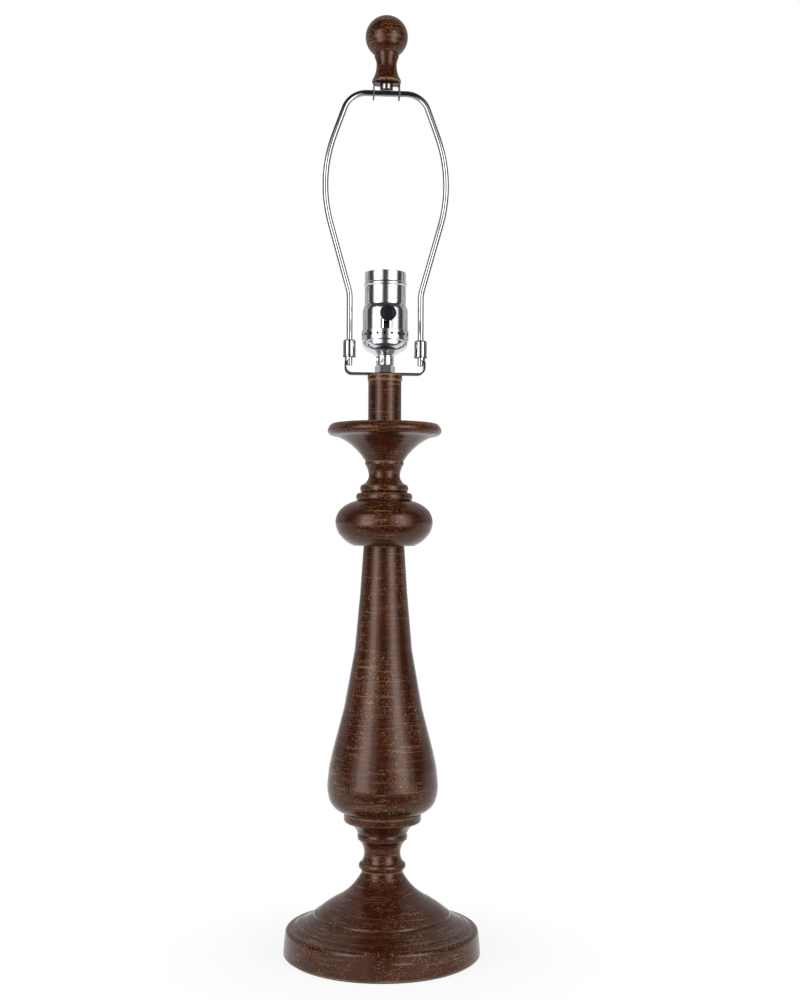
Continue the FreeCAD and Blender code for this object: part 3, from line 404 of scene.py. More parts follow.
def with_modifiers(piece):
    """Keep what the piece's modifiers make as its own mesh."""
    bpy.context.view_layer.update()
    depsgraph = bpy.context.evaluated_depsgraph_get()
    made = bpy.data.meshes.new_from_object(piece.evaluated_get(depsgraph))
    if not made.polygons:
        raise RuntimeError("nothing is left of " + piece.name)
    piece.modifiers.clear()
    piece.data = made


def cut_away(piece, bm, name, operation="DIFFERENCE", finish=None):
    """Cut the forms of a bmesh out of a piece, or keep only what lies inside them. The cut's
    faces get the finish that is named, or the piece's own."""
    tool = finished(name, bm, finish_of(finish) if finish else piece.data.materials[0])
    cut = piece.modifiers.new(name, "BOOLEAN")
    cut.object = tool
    cut.operation = operation
    cut.solver = "EXACT"
    cut.material_mode = "TRANSFER"
    with_modifiers(piece)
    bpy.data.objects.remove(tool)
    piece.data.shade_smooth()
    piece.data.set_sharp_from_angle(angle=CREASE)


def softened_copy(name, node, body, slot):
    """A copy of a node's own form, merged and given small rounded edges."""
    bm = bmesh.new()
    bm.from_mesh(frame["nodes"][node].data)
    bmesh.ops.remove_doubles(bm, verts=bm.verts, dist=MERGED)
    bmesh.ops.dissolve_limit(bm, angle_limit=FLAT_ANGLE, verts=bm.verts, edges=bm.edges)
    piece = finished(name, bm, finish_of(slot), STRIP_CREASE)
    bevel = piece.modifiers.new("edges", "BEVEL")
    bevel.affect = "EDGES"
    bevel.width = bpy.context.scene.lamp_sizes.edge
    bevel.segments = 2
    bevel.profile = 0.5
    bevel.material = -1
    bevel.limit_method = "ANGLE"
    bevel.angle_limit = STRIP_CREASE
    bevel.harden_normals = True
    with_modifiers(piece)
    return placed(piece, node, body)


def chamfered_nut(name, node, body, finish):
    """A hexagonal nut whose corners are turned off at 30 degrees."""
    slope = math.radians(30)
    low, high = (Vector(corner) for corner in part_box(node))
    tall, corner = high.z - low.z, (high.x - low.x) / 2
    flat = corner * math.cos(slope)
    drop = (corner - flat) * math.tan(slope)
    bm = bmesh.new()
    middle = Matrix.Translation((low + high) / 2)
    bmesh.ops.create_cone(bm, cap_ends=True, segments=6, radius1=corner, radius2=corner,
                          depth=tall, matrix=middle @ Matrix.Rotation(slope, 4, "Z"))
    piece = finished(name, bm, finish_of(finish))
    outline = [(0, 0), (flat / MM, 0), (corner / MM, drop / MM), (corner / MM, (tall - drop) / MM),
               (flat / MM, tall / MM), (0, tall / MM)]
    turned = spun(outline, NUT_STEPS, tall)
    bmesh.ops.translate(turned, verts=turned.verts, vec=(0, 0, low.z))
    cut_away(piece, turned, "nut_corners", "INTERSECT")
    return placed(piece, node, body)


def add_block(bm, place, wide, deep, tall):
    """Add a block to a bmesh, with its middle at the place and its sides in millimetres."""
    size = Matrix.Diagonal((wide * MM, deep * MM, tall * MM, 1))
    bmesh.ops.create_cube(bm, size=1, matrix=place @ size)


def prick(bm, place, depth):
    """Add a blunt cone that dents a wall to the given depth, where the wall faces along +X."""
    bmesh.ops.create_cone(bm, cap_ends=True, segments=DIMPLE_STEPS,
                          radius1=DIMPLE_BOTTOM * MM, radius2=DIMPLE_MOUTH * MM, depth=2 * depth,
                          matrix=place @ Matrix.Rotation(RIGHT_ANGLE, 4, "Y"))


def slot_cutter(outline, depth, height):
    """A closed outline in the XZ plane, raised and extruded towards -Y from the lamp's axis."""
    bm = bmesh.new()
    face = bm.faces.new([bm.verts.new((corner.x, 0, corner.y)) for corner in points_along(outline)])
    raised = bmesh.ops.extrude_face_region(bm, geom=[face])["geom"]
    bmesh.ops.translate(bm, verts=[item for item in raised if isinstance(item, bmesh.types.BMVert)],
                        vec=(0, -depth * MM, 0))
    bmesh.ops.recalc_face_normals(bm, faces=bm.faces)
    bmesh.ops.translate(bm, verts=bm.verts, vec=(0, 0, height))
    return bm


def bent_route(corners, arc_angle):
    """Points along straight runs joined by tangent arcs, in metres. An end is (across, up) and a
    corner is (across, up, bend radius), in millimetres."""
    points = [Vector(corners[0]) * MM]
    for before, corner, after in zip(corners, corners[1:-1], corners[2:]):
        place = Vector(corner[:2]) * MM
        back = (Vector(before[:2]) * MM - place).normalized()
        ahead = (Vector(after[:2]) * MM - place).normalized()
        half = back.angle(ahead) / 2
        radius = corner[2] * MM
        centre = place + (back + ahead).normalized() * (radius / math.sin(half))
        first = place + back * (radius / math.tan(half)) - centre
        last = place + ahead * (radius / math.tan(half)) - centre
        steps = max(2, math.ceil((math.pi - 2 * half) / arc_angle))
        for step in range(steps + 1):
            spoke = first.slerp(last, step / steps)
            points.append(centre + spoke * (radius / spoke.length))
    points.append(Vector(corners[-1]) * MM)
    return points


def bent_wire(route, radius, foot):
    """A round wire with closed ends along a route in the XZ plane, raised to its foot's height."""
    line = bpy.data.curves.new("harp_route", "CURVE")
    line.dimensions = "3D"
    line.bevel_depth = radius
    line.bevel_resolution = 7
    line.use_fill_caps = True
    spline = line.splines.new("POLY")
    spline.points.add(len(route) - 1)
    for place, point in zip(spline.points, route):
        place.co = (point.x, 0, point.y + foot, 1)
    bent = bpy.data.objects.new("harp_route", line)
    bpy.context.scene.collection.objects.link(bent)
    bpy.context.view_layer.update()
    depsgraph = bpy.context.evaluated_depsgraph_get()
    bm = bmesh.new()
    bm.from_mesh(bpy.data.meshes.new_from_object(bent.evaluated_get(depsgraph)))
    bpy.data.objects.remove(bent)
    bmesh.ops.remove_doubles(bm, verts=bm.verts, dist=MERGED)
    bmesh.ops.recalc_face_normals(bm, faces=bm.faces)
    return bm


# ------------------------------------------------------------------ finishes
# Inputs and outputs that share their name with others on the same node, by number.
FROM_LOW, FROM_HIGH, TO_LOW, TO_HIGH = 1, 2, 3, 4       # of Map Range
COLOUR_A, COLOUR_B, MIXED_COLOUR = 6, 7, 2              # of Mix, for colours
NUMBER_A, NUMBER_B = 2, 3                               # of Mix, for numbers


def feed(node, feeds):
    """Give a shader node's inputs what feeds each of them: the first output of another node, a
    socket or a plain value."""
    for place, source in feeds.items():
        if isinstance(source, bpy.types.Node):
            source = source.outputs[0]
        if isinstance(source, bpy.types.NodeSocket):
            node.id_data.links.new(source, node.inputs[place])
        else:
            node.inputs[place].default_value = source


def add_node(tree, kind, feeds=None, **settings):
    """Add a shader node, with its settings and what feeds its inputs."""
    node = tree.nodes.new("ShaderNode" + kind)
    for setting, value in settings.items():
        setattr(node, setting, value)
    feed(node, feeds or {})
    return node


def new_material(name):
    """An empty material, its tree, its shader and the place on the piece that patterns read."""
    material = bpy.data.materials.new(name)
    material.use_nodes = True
    tree = material.node_tree
    tree.nodes.clear()
    shader = add_node(tree, "BsdfPrincipled")
    add_node(tree, "OutputMaterial", {"Surface": shader})
    place = add_node(tree, "TexCoord").outputs["Object"]
    return material, tree, shader, place


def opaque(colour):
    """A colour with the fourth value that a colour socket takes."""
    return (*colour, 1.0)


def painted_wood(colours):
    """Distressed brown paint on turned wood, under satin lacquer: a mottled ground, dark glaze in
    brush marks, dark glaze and painted shade in the hollows, and tan gold where the turning was
    rubbed through."""
    material, tree, shader, place = new_material("distressed_brown_paint")
    run = add_node(tree, "Attribute", attribute_name="run").outputs["Fac"]
    hollow = add_node(tree, "Attribute", attribute_name="hollow").outputs["Fac"]
    parts = add_node(tree, "SeparateXYZ", {0: place})
    along = add_node(tree, "CombineXYZ", {0: parts.outputs[0], 1: parts.outputs[1], 2: run})

    # patches of 15 mm, from walnut to red brown
    patches = add_node(tree, "TexNoise", {
        "Vector": place, "Scale": 66.0, "Detail": 5.0, "Roughness": 0.6})
    patchy = add_node(tree, "MapRange", {0: patches, FROM_LOW: 0.40, FROM_HIGH: 0.66})
    ground = add_node(tree, "Mix", {
        0: patchy, COLOUR_A: opaque(colours.paint), COLOUR_B: opaque(colours.paint_red)},
        data_type="RGBA")
    # brush marks of the glaze, some 3 mm apart, that run round the turning
    round_it = add_node(tree, "VectorMath", {
        0: along, 1: (34.0, 34.0, 330.0)}, operation="MULTIPLY")
    glaze = add_node(tree, "TexNoise", {
        "Vector": round_it, "Scale": 1.0, "Detail": 4.0, "Roughness": 0.65})
    glazed = add_node(tree, "MapRange", {0: glaze, FROM_LOW: 0.45, FROM_HIGH: 0.70, TO_HIGH: 0.7})
    # dark glaze and painted shade in the hollows of the outline, darker the deeper the hollow
    glaze_and_shade_in_hollows = add_node(tree, "MapRange", {
        0: hollow, FROM_LOW: 0.12, FROM_HIGH: 0.75, TO_HIGH: 0.9})
    shade = add_node(tree, "Math", {0: glazed, 1: glaze_and_shade_in_hollows}, operation="MAXIMUM")
    brown = add_node(tree, "Mix", {
        0: shade, COLOUR_A: ground.outputs[MIXED_COLOUR], COLOUR_B: opaque(colours.glaze_and_hollow_shade)},
        data_type="RGBA")
    # where it was rubbed: patches of 35 mm, and along the proud edges
    worn_patches = add_node(tree, "TexNoise", {
        "Vector": place, "Scale": 29.0, "Detail": 3.0, "Distortion": 0.6})
    worn = add_node(tree, "MapRange", {
        0: worn_patches, FROM_LOW: 0.38, FROM_HIGH: 0.62, TO_LOW: 0.2})
    proud = add_node(tree, "MapRange", {0: hollow, FROM_LOW: -0.08, FROM_HIGH: -0.28, TO_HIGH: 0.9})
    reach = add_node(tree, "Math", {0: worn, 1: proud}, operation="MAXIMUM")
    # scratches under a millimetre wide and some 20 mm long, round the turning
    thin = add_node(tree, "VectorMath", {0: along, 1: (42.0, 42.0, 900.0)}, operation="MULTIPLY")
    scratch = add_node(tree, "TexNoise", {
        "Vector": thin, "Scale": 1.0, "Detail": 3.0, "Roughness": 0.6})
    fine_line = add_node(tree, "MapRange", {
        0: scratch, FROM_LOW: 0.56, FROM_HIGH: 0.67, TO_HIGH: 0.33})
    # flecks of a millimetre, drawn out a little round the turning
    short = add_node(tree, "VectorMath", {
        0: along, 1: (600.0, 600.0, 1000.0)}, operation="MULTIPLY")
    flecks = add_node(tree, "TexNoise", {
        "Vector": short, "Scale": 1.0, "Detail": 3.0, "Roughness": 0.7})
    fleck = add_node(tree, "MapRange", {0: flecks, FROM_LOW: 0.58, FROM_HIGH: 0.67, TO_HIGH: 0.72})
    either = add_node(tree, "Math", {0: fine_line, 1: fleck}, operation="MAXIMUM")
    rubbed = add_node(tree, "Math", {0: either, 1: reach}, operation="MULTIPLY")
    # a thin line along the sharpest edges, fainter where the patches don't reach them
    edge = add_node(tree, "MapRange", {0: hollow, FROM_LOW: -0.45, FROM_HIGH: -0.95, TO_HIGH: 0.5})
    edge_line = add_node(tree, "Math", {0: edge, 1: worn}, operation="MULTIPLY")
    gold = add_node(tree, "Math", {0: rubbed, 1: edge_line}, operation="MAXIMUM")
    colour = add_node(tree, "Mix", {
        0: gold, COLOUR_A: brown.outputs[MIXED_COLOUR], COLOUR_B: opaque(colours.rub)},
        data_type="RGBA")
    # satin lacquer, whose gloss varies a little with the brush marks
    gloss = add_node(tree, "MapRange", {
        0: glaze, FROM_LOW: 0.3, FROM_HIGH: 0.7, TO_LOW: 0.19, TO_HIGH: 0.26})
    tool_marks = add_node(tree, "Bump", {"Height": scratch, "Strength": 0.12, "Distance": 0.1 * MM})
    texture = add_node(tree, "Bump", {
        "Height": patches, "Strength": 0.2, "Distance": 0.2 * MM, "Normal": tool_marks})
    feed(shader, {
        "Base Color": colour.outputs[MIXED_COLOUR], "Roughness": gloss, "IOR": 1.45,
        "Specular Tint": opaque(colours.lacquer), "Normal": texture})
    return material


def plated(name, colour, roughness, wave, rim=1.0):
    """Bright plating on pressed or drawn metal: nearly a mirror, with a slight wave from the
    pressing and fine handling marks in its gloss. The rim is how bright its grazing edges are."""
    material, tree, shader, place = new_material(name)
    marks = add_node(tree, "TexNoise", {"Vector": place, "Scale": 400.0, "Detail": 1.0})
    gloss = add_node(tree, "MapRange", {
        0: marks, FROM_LOW: 0.35, FROM_HIGH: 0.75, TO_LOW: roughness, TO_HIGH: roughness * 1.15})
    waves = add_node(tree, "TexNoise", {"Vector": place, "Scale": 170.0, "Detail": 1.0})
    bump = add_node(tree, "Bump", {"Height": waves, "Strength": wave, "Distance": 0.1 * MM})
    feed(shader, {
        "Base Color": opaque(colour), "Metallic": 1.0, "Roughness": gloss,
        "Specular Tint": opaque([rim] * 3), "Normal": bump})
    return material


def nickel(colours):
    """Bright nickel plate on drawn wire and folded strip."""
    return plated("bright_nickel_plate", colours.nickel, 0.03, 0.1, 0.1)


def satin_nickel(colours):
    """The same plate over the socket's pressings, which are brushed a little."""
    return plated("satin_nickel_plate", colours.satin, 0.17, 0.1)


def recess_shade(colours):
    """A dark metal on the faces of the punched marks and the driver's slot: painted shade inside
    them.
    """
    return plated("painted_shade_in_recesses", colours.recess_shade, 0.5, 0.1)


def zinc(colours):
    """Zinc plated steel: a greyer, duller metal with a fine spangle."""
    return plated("zinc_plated_steel", colours.zinc, 0.13, 0.2)


def aluminium(colours):
    """Thin aluminium sheet, rolled into the bulb's thread."""
    return plated("rolled_aluminium", colours.aluminium, 0.2, 0.3)


def brass(colours):
    """Rolled brass strip and turned brass, lightly tarnished."""
    return plated("rolled_brass", colours.brass, 0.2, 0.3)


def grained(name, pattern, tones, relief, shading, stretch=None):
    """A matt or moulded material, whose pattern mixes two tones and raises the grain. Given are
    what the pattern's noise takes, the tones, the strength and depth of the relief, what else
    the shader takes, and how the pattern is stretched, if it is."""
    material, tree, shader, place = new_material(name)
    if stretch:
        place = add_node(tree, "Mapping", {"Vector": place, "Scale": stretch})
    noise = add_node(tree, "TexNoise", {"Vector": place, **pattern})
    tone = add_node(tree, "Mix", {
        0: noise, COLOUR_A: opaque(tones[0]), COLOUR_B: opaque(tones[1])}, data_type="RGBA")
    grain = add_node(tree, "Bump", {"Height": noise, "Strength": relief[0], "Distance": relief[1]})
    feed(shader, {"Base Color": tone.outputs[MIXED_COLOUR], "Normal": grain, **shading})
    return material, tree, shader, noise


def moulding(colours):
    """Black phenolic moulding: glossy from its mould, with a faint flow texture."""
    material, tree, shader, cloud = grained(
        "black_phenolic_moulding", {"Scale": 260.0, "Detail": 4.0},
        (colours.black, colours.black_pale), (0.2, 0.05 * MM), {})
    gloss = add_node(tree, "MapRange", {
        0: cloud, FROM_LOW: 0.3, FROM_HIGH: 0.7, TO_LOW: 0.12, TO_HIGH: 0.2})
    feed(shader, {"Roughness": gloss})
    return material


def fibre_board(colours):
    """Pressed paper liner: matt, with short fibres 0.3 mm wide."""
    return grained("pressed_fibre_board", {"Scale": 1500.0, "Detail": 3.0},
                   (colours.board_dark, colours.board), (0.4, 0.1 * MM), {"Roughness": 0.85},
                   (1.0, 1.0, 0.25))[0]


def cast_iron(colours):
    """Iron as cast in sand: dark, dull and grainy at about half a millimetre."""
    return grained("sand_cast_iron", {"Scale": 1100.0, "Detail": 5.0},
                   (colours.iron, colours.iron_pale), (0.8, 0.3 * MM),
                   {"Metallic": 0.7, "Roughness": 0.62})[0]


def felt(colours):
    """Pressed wool felt: no gloss, a soft sheen, and matted fibres drawn 1 mm coarse to show."""
    tones = [[part * share for part in colours.felt] for share in (0.55, 1.5)]
    return grained("pressed_wool_felt", {"Scale": 1000.0, "Detail": 6.0, "Roughness": 0.75,
                                         "Distortion": 1.5},
                   tones, (0.9, 0.4 * MM), {"Roughness": 0.95, "Sheen Weight": 0.5})[0]


# The finish of each of the record's slots, and two more that the nickel slot's pieces take.
FINISHES = {
    "walnut_paint": painted_wood, "nickel_plate": nickel, "zinc_steel": zinc,
    "spring_brass": brass, "screw_shell_aluminium": aluminium, "black_moulding": moulding,
    "liner_board": fibre_board, "cast_weight": cast_iron, "green_felt": felt,
    "satin_nickel": satin_nickel, "recess_shade": recess_shade,
}
made_finishes = {}


def finish_of(name):
    """The material of a finish, made when it is first asked for."""
    if name not in made_finishes:
        made_finishes[name] = FINISHES[name](bpy.context.scene.lamp_colours)
    return made_finishes[name]


# ------------------------------------------------------------------ pieces
class LAMP_OT_foot(bpy.types.Operator):
    """Turn the foot with its cord hole, line the hole, and lay the felt underneath"""
    bl_idname = "lamp.foot"
    bl_label = "Foot"

    def execute(self, context):
        foot = turned_piece("foot_turning", FOOT, "base", COLUMN, "walnut_paint")
        inlet = middle_of("cord_bushing").z
        hole = bmesh.new()
        for radius, near, far in CORD_HOLE:
            middle = Matrix.Translation((0, (near + far) / 2 * MM, inlet))
            bmesh.ops.create_cone(hole, cap_ends=True, segments=HOLE_STEPS,
                                  radius1=radius * MM, radius2=radius * MM,
                                  depth=(far - near) * MM, matrix=middle @ BACKWARD)
        cut_away(foot, hole, "cord_hole")
        turned_piece("cord_hole_bushing", BUSHING, "cord_bushing", COLUMN, "black_moulding",
                     (0, 0, inlet), BACKWARD, HOLE_STEPS)
        turned_piece("foot_felt", FELT, "base_felt", COLUMN, "green_felt")
        return {"FINISHED"}


class LAMP_OT_column(bpy.types.Operator):
    """Turn the spool, vase and knop of the column"""
    bl_idname = "lamp.column"
    bl_label = "Column"

    def execute(self, context):
        painted_turnings(("spool_turning", SPOOL, "column_spool"),
                         ("vase_turning", VASE, "column_vase"),
                         ("knop_turning", KNOP, "column_knop"))
        return {"FINISHED"}


class LAMP_OT_candle(bpy.types.Operator):
    """Turn the drip pan, the candle tube and its cap"""
    bl_idname = "lamp.candle"
    bl_label = "Drip pan and candle"

    def execute(self, context):
        painted_turnings(("pan_turning", PAN, "candle_pan"),
                         ("candle_turning", CANDLE, "candle_tube"),
                         ("candle_cap_turning", CANDLE_CAP, "tube_cap"))
        return {"FINISHED"}


class LAMP_OT_saddle(bpy.types.Operator):
    """Soften the harp's saddle, and turn off the corners of the nut that clamps it"""
    bl_idname = "lamp.saddle"
    bl_label = "Saddle and nut"

    def execute(self, context):
        softened_copy("saddle_strip", "harp_saddle", COLUMN, "nickel_plate")
        chamfered_nut("saddle_hex_nut", "saddle_nut", COLUMN, "satin_nickel")
        return {"FINISHED"}


class LAMP_OT_socket_cap(bpy.types.Operator):
    """Press the socket's cap, with its row of dimples and two rounds"""
    bl_idname = "lamp.socket_cap"
    bl_label = "Socket cap"

    def execute(self, context):
        sizes = context.scene.lamp_sizes
        cap = turned_piece("socket_cap_pressing", SOCKET_CAP, "socket_cap", COLUMN, "nickel_plate",
                           steps=SOCKET_STEPS, finish="satin_nickel")
        band = Matrix.Translation((BAND_RADIUS * MM, 0,
                                   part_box("socket_cap")[1][2] - DIMPLE_DROP * MM))
        dimples = bmesh.new()
        for number in range(sizes.dimples):
            bearing = math.radians(DIMPLE_BEARING) + math.tau * number / sizes.dimples
            prick(dimples, Matrix.Rotation(bearing, 4, "Z") @ band, sizes.dimple_depth)
        shoulder = Matrix.Translation((SHOULDER_RADIUS * MM, 0,
                                       floor_of("socket_cap") + SHOULDER_HEIGHT * MM))
        rounds = bmesh.new()
        for bearing in ROUND_BEARINGS:
            mark = (Matrix.Rotation(math.radians(bearing), 4, "Z") @ shoulder
                    @ Matrix.Rotation(math.radians(ROUND_LEAN), 4, "Y"))
            bmesh.ops.create_icosphere(
                rounds, subdivisions=4, radius=BALL_RADIUS * MM,
                matrix=mark @ Matrix.Translation((BALL_OUTSIDE * MM, 0, 0)))
            prick(dimples, mark, sizes.dimple_depth)
        cut_away(cap, rounds, "pressed_marks")
        # the dimples' insides take the dark finish, which paints the shade in them
        cut_away(cap, dimples, "pressed_dimples", finish="recess_shade")
        return {"FINISHED"}


class LAMP_OT_socket_shell(bpy.types.Operator):
    """Spin the slotted shell with its liner, and set the key's guide inside the slot"""
    bl_idname = "lamp.socket_shell"
    bl_label = "Socket shell"

    def execute(self, context):
        key_height = middle_of("turn_knob").z
        shell = turned_piece("socket_shell_spinning", SOCKET_SHELL, "socket_shell", COLUMN,
                             "nickel_plate", steps=SOCKET_STEPS, finish="satin_nickel")
        cut_away(shell, slot_cutter(KEY_SLOT, KEY_SLOT_DEPTH, key_height), "key_slot")
        liner = turned_piece("fibre_liner", LINER, "shell_liner", COLUMN, "liner_board")
        cut_away(liner, slot_cutter(KEY_SLOT, KEY_SLOT_DEPTH, key_height), "liner_slot")
        clip = bmesh.new()
        foot = floor_of("socket_interior") + GUIDE_UP * MM
        for across, up, wide, tall, turn in GUIDE_STRIPS:
            place = Matrix.Translation((across * MM, -GUIDE_FORWARD * MM, foot + up * MM))
            add_block(clip, place @ Matrix.Rotation(math.radians(turn), 4, "Z"),
                      wide, GUIDE_THICKNESS, tall)
        piece = finished("key_guide_clip", clip, finish_of("satin_nickel"))
        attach(piece, COLUMN)
        return {"FINISHED"}


class LAMP_OT_screw_shell(bpy.types.Operator):
    """Roll the bulb's screw shell"""
    bl_idname = "lamp.screw_shell"
    bl_label = "Bulb screw shell"

    def execute(self, context):
        sizes = context.scene.lamp_sizes
        thread = (sizes.thread_pitch, sizes.thread_depth, BULB_THREAD_FROM * MM,
                  BULB_THREAD_TO * MM)
        threaded_piece("bulb_screw_shell", SCREW_SHELL, SCREW_SHELL_STEPS,
                       BULB_THREAD_STEP * MM, thread, "screw_shell", COLUMN,
                       "screw_shell_aluminium")
        return {"FINISHED"}


class LAMP_OT_set_screw(bpy.types.Operator):
    """Turn the slotted set screw in the cap's neck"""
    bl_idname = "lamp.set_screw"
    bl_label = "Set screw"

    def execute(self, context):
        at = (0, 0, middle_of("cap_set_screw").z)
        axis = Matrix.Rotation(math.radians(SET_SCREW_BEARING), 4, "Z") @ FORWARD
        screw = turned_piece("neck_set_screw", SET_SCREW, "cap_set_screw", COLUMN, "nickel_plate",
                             at, axis, SET_SCREW_STEPS, "satin_nickel")
        driver = bmesh.new()
        head = Matrix.Translation(at) @ axis @ Matrix.Translation((0, 0, DRIVER_OUT * MM))
        add_block(driver, head, *DRIVER_SLOT)
        # the slot's faces take the dark finish, which paints the shade in it
        cut_away(screw, driver, "driver_slot", finish="recess_shade")
        return {"FINISHED"}


class LAMP_OT_key(bpy.types.Operator):
    """Mould the turn knob on the switch's shaft"""
    bl_idname = "lamp.key"
    bl_label = "Turn knob"

    def execute(self, context):
        turned_piece("turn_knob_moulding", KNOB, "turn_knob", KEY, "black_moulding",
                     (0, 0, middle_of("turn_knob").z), FORWARD, KNOB_STEPS)
        return {"FINISHED"}


class LAMP_OT_harp(bpy.types.Operator):
    """Bend the harp's wire and turn the two sleeves that lock it"""
    bl_idname = "lamp.harp"
    bl_label = "Harp wire and sleeves"

    def execute(self, context):
        sizes = context.scene.lamp_sizes
        route = bent_route(HARP_ROUTE, sizes.arc_angle / 2)
        route += [Vector((-point.x, point.y)) for point in reversed(route[:-1])]
        wire = bent_wire(route, sizes.wire_radius, floor_of("harp_wire"))
        placed(finished("harp_bent_wire", wire, finish_of("nickel_plate")), "harp_wire", HARP)
        for side in ("left", "right"):
            node = "ferrule_" + side
            turned_piece(side + "_sleeve_turning", FERRULE, node, side + "_sleeve", "nickel_plate",
                         (middle_of(node).x, 0, floor_of(node)), steps=SLEEVE_STEPS)
        return {"FINISHED"}


class LAMP_OT_harp_top(bpy.types.Operator):
    """Soften the bracket on top of the harp, and thread the stud that it carries"""
    bl_idname = "lamp.harp_top"
    bl_label = "Harp bracket and stud"

    def execute(self, context):
        softened_copy("harp_bracket", "harp_top_bracket", HARP, "nickel_plate")
        thread = [size * MM for size in (STUD_PITCH, STUD_DEPTH, STUD_THREAD_FROM, STUD_THREAD_TO)]
        threaded_piece("finial_screw_stud", STUD, STUD_STEPS, STUD_THREAD_STEP * MM,
                       thread, "finial_stud", HARP, "zinc_steel")
        return {"FINISHED"}


class LAMP_OT_finial(bpy.types.Operator):
    """Turn the ball finial"""
    bl_idname = "lamp.finial"
    bl_label = "Finial"

    def execute(self, context):
        turned_piece("finial_turning", FINIAL, "finial", "finial_ball", "walnut_paint")
        return {"FINISHED"}


class LAMP_OT_inner_pieces(bpy.types.Operator):
    """Give the pieces that stay as they are in the frame their finishes"""
    bl_idname = "lamp.inner_pieces"
    bl_label = "Inner pieces"

    def execute(self, context):
        slots = {part["node"]: part["material_slot"] for part in frame["record"]["subparts"]}
        for node in ("base_weight", "center_pipe", "bottom_washer", "bottom_nut",
                     "socket_interior", "terminal_screws", "centre_contact", "key_rotor",
                     "finial_insert"):
            for place in frame["nodes"][node].material_slots:
                place.material = finish_of(slots[node])
        return {"FINISHED"}


# ------------------------------------------------------------------ stage
SOFTBOX_TURN = math.radians(42)      # to each side of the camera
SOFTBOX_HEIGHT = 0.55
# The width, height and distance of a softbox, and of its brighter middle just in front of it.
SOFTBOX = (1.02, 1.3, 1.0)
SOFTBOX_MIDDLE = (0.42, 1.0, 0.98)
VIEW_DEPTH = 50                      # how far the camera sees
# The floor is this far from its middle to its edges, and its middle this far behind the lamp.
FLOOR_REACH, FLOOR_BEHIND = 6.0, 5.8
# The floor keeps this share of its plain white near the lamp, and all of it further out.
SHADOW_WHITE, SHADOW_NEAR, SHADOW_FAR = 0.87, 0.08, 0.2
# The backdrop that gloss sees, the dark beside it, and where one turns into the other: the
# cosine of the angle from the camera's side.
BACKDROP_WHITE, STUDIO_DARK = 0.54, 0.04
BACKDROP_ENDS, STUDIO_BEGINS = -0.26, -0.16


class LAMP_OT_stage(bpy.types.Operator):
    """Set the camera, the pale floor and the soft studio light"""
    bl_idname = "lamp.stage"
    bl_label = "Camera, floor and light"

    def execute(self, context):
        scene, settings = context.scene, context.scene.stage_settings
        heading = settings.azimuth
        towards_camera = Vector((math.sin(heading), -math.cos(heading), 0))
        eye = towards_camera * settings.distance + Vector((0, 0, settings.eye_height))
        camera = bpy.data.objects.new("camera", bpy.data.cameras.new("camera"))
        camera.data.lens = settings.lens
        camera.data.clip_end = VIEW_DEPTH
        camera.matrix_world = (Matrix.Translation(eye)
                               @ Matrix.Rotation(heading - settings.aside, 4, "Z")
                               @ Matrix.Rotation(RIGHT_ANGLE + settings.pitch, 4, "X")
                               @ Matrix.Rotation(settings.roll, 4, "Z"))
        scene.collection.objects.link(camera)
        scene.camera = camera
        for side, turn in (("left", -SOFTBOX_TURN), ("right", SOFTBOX_TURN)):
            for part, (wide, tall, away), brightness in (
                    ("softbox", SOFTBOX, settings.softbox_light),
                    ("softbox_middle", SOFTBOX_MIDDLE, settings.middle_light)):
                light = bpy.data.lights.new(side + "_" + part, "AREA")
                light.shape = "RECTANGLE"
                light.size, light.size_y = wide, tall
                light.energy = brightness * math.pi * wide * tall
                lamp = bpy.data.objects.new(side + "_" + part, light)
                lamp.matrix_world = (Matrix.Rotation(heading + turn, 4, "Z")
                                     @ Matrix.Translation((0, -away, SOFTBOX_HEIGHT))
                                     @ Matrix.Rotation(RIGHT_ANGLE, 4, "X"))
                lamp.visible_camera = False
                scene.collection.objects.link(lamp)
        lay_floor(scene)
        light_world(scene, towards_camera, settings.fill_light)
        scene.view_settings.view_transform = "Standard"
        return {"FINISHED"}


def lay_floor(scene):
    """A pale floor that shows white to the camera and keeps the lamp's shadow."""
    bm = bmesh.new()
    bmesh.ops.create_grid(bm, x_segments=1, y_segments=1, size=FLOOR_REACH,
                          matrix=Matrix.Translation((0, FLOOR_BEHIND, 0)))
    mesh = bpy.data.meshes.new("floor")
    bm.to_mesh(mesh)
    bm.free()
    floor = bpy.data.objects.new("floor", mesh)
    scene.collection.objects.link(floor)
    paper = bpy.data.materials.new("white_studio_paper")
    paper.use_nodes = True
    tree = paper.node_tree
    tree.nodes.clear()
    surface = add_node(tree, "BsdfDiffuse", {"Color": (0.9, 0.9, 0.9, 1)})
    glow = add_node(tree, "Emission", {"Color": (1, 1, 1, 1), "Strength": 1.0})
    path = add_node(tree, "LightPath")
    seen = path.outputs["Is Camera Ray"]
    for ray in ("Is Glossy Ray", "Is Transmission Ray"):
        seen = add_node(tree, "Math", {0: seen, 1: path.outputs[ray]}, operation="MAXIMUM")
    place = add_node(tree, "TexCoord").outputs["Object"]
    away = add_node(tree, "VectorMath", {0: place}, operation="LENGTH")
    plain = add_node(tree, "MapRange", {
        0: away.outputs["Value"], FROM_LOW: SHADOW_NEAR, FROM_HIGH: SHADOW_FAR,
        TO_LOW: SHADOW_WHITE, TO_HIGH: 1.0}, interpolation_type="SMOOTHSTEP")
    share = add_node(tree, "Math", {0: seen, 1: plain}, operation="MULTIPLY")
    mixed = add_node(tree, "MixShader", {0: share, 1: surface, 2: glow})
    add_node(tree, "OutputMaterial", {"Surface": mixed})
    mesh.materials.append(paper)


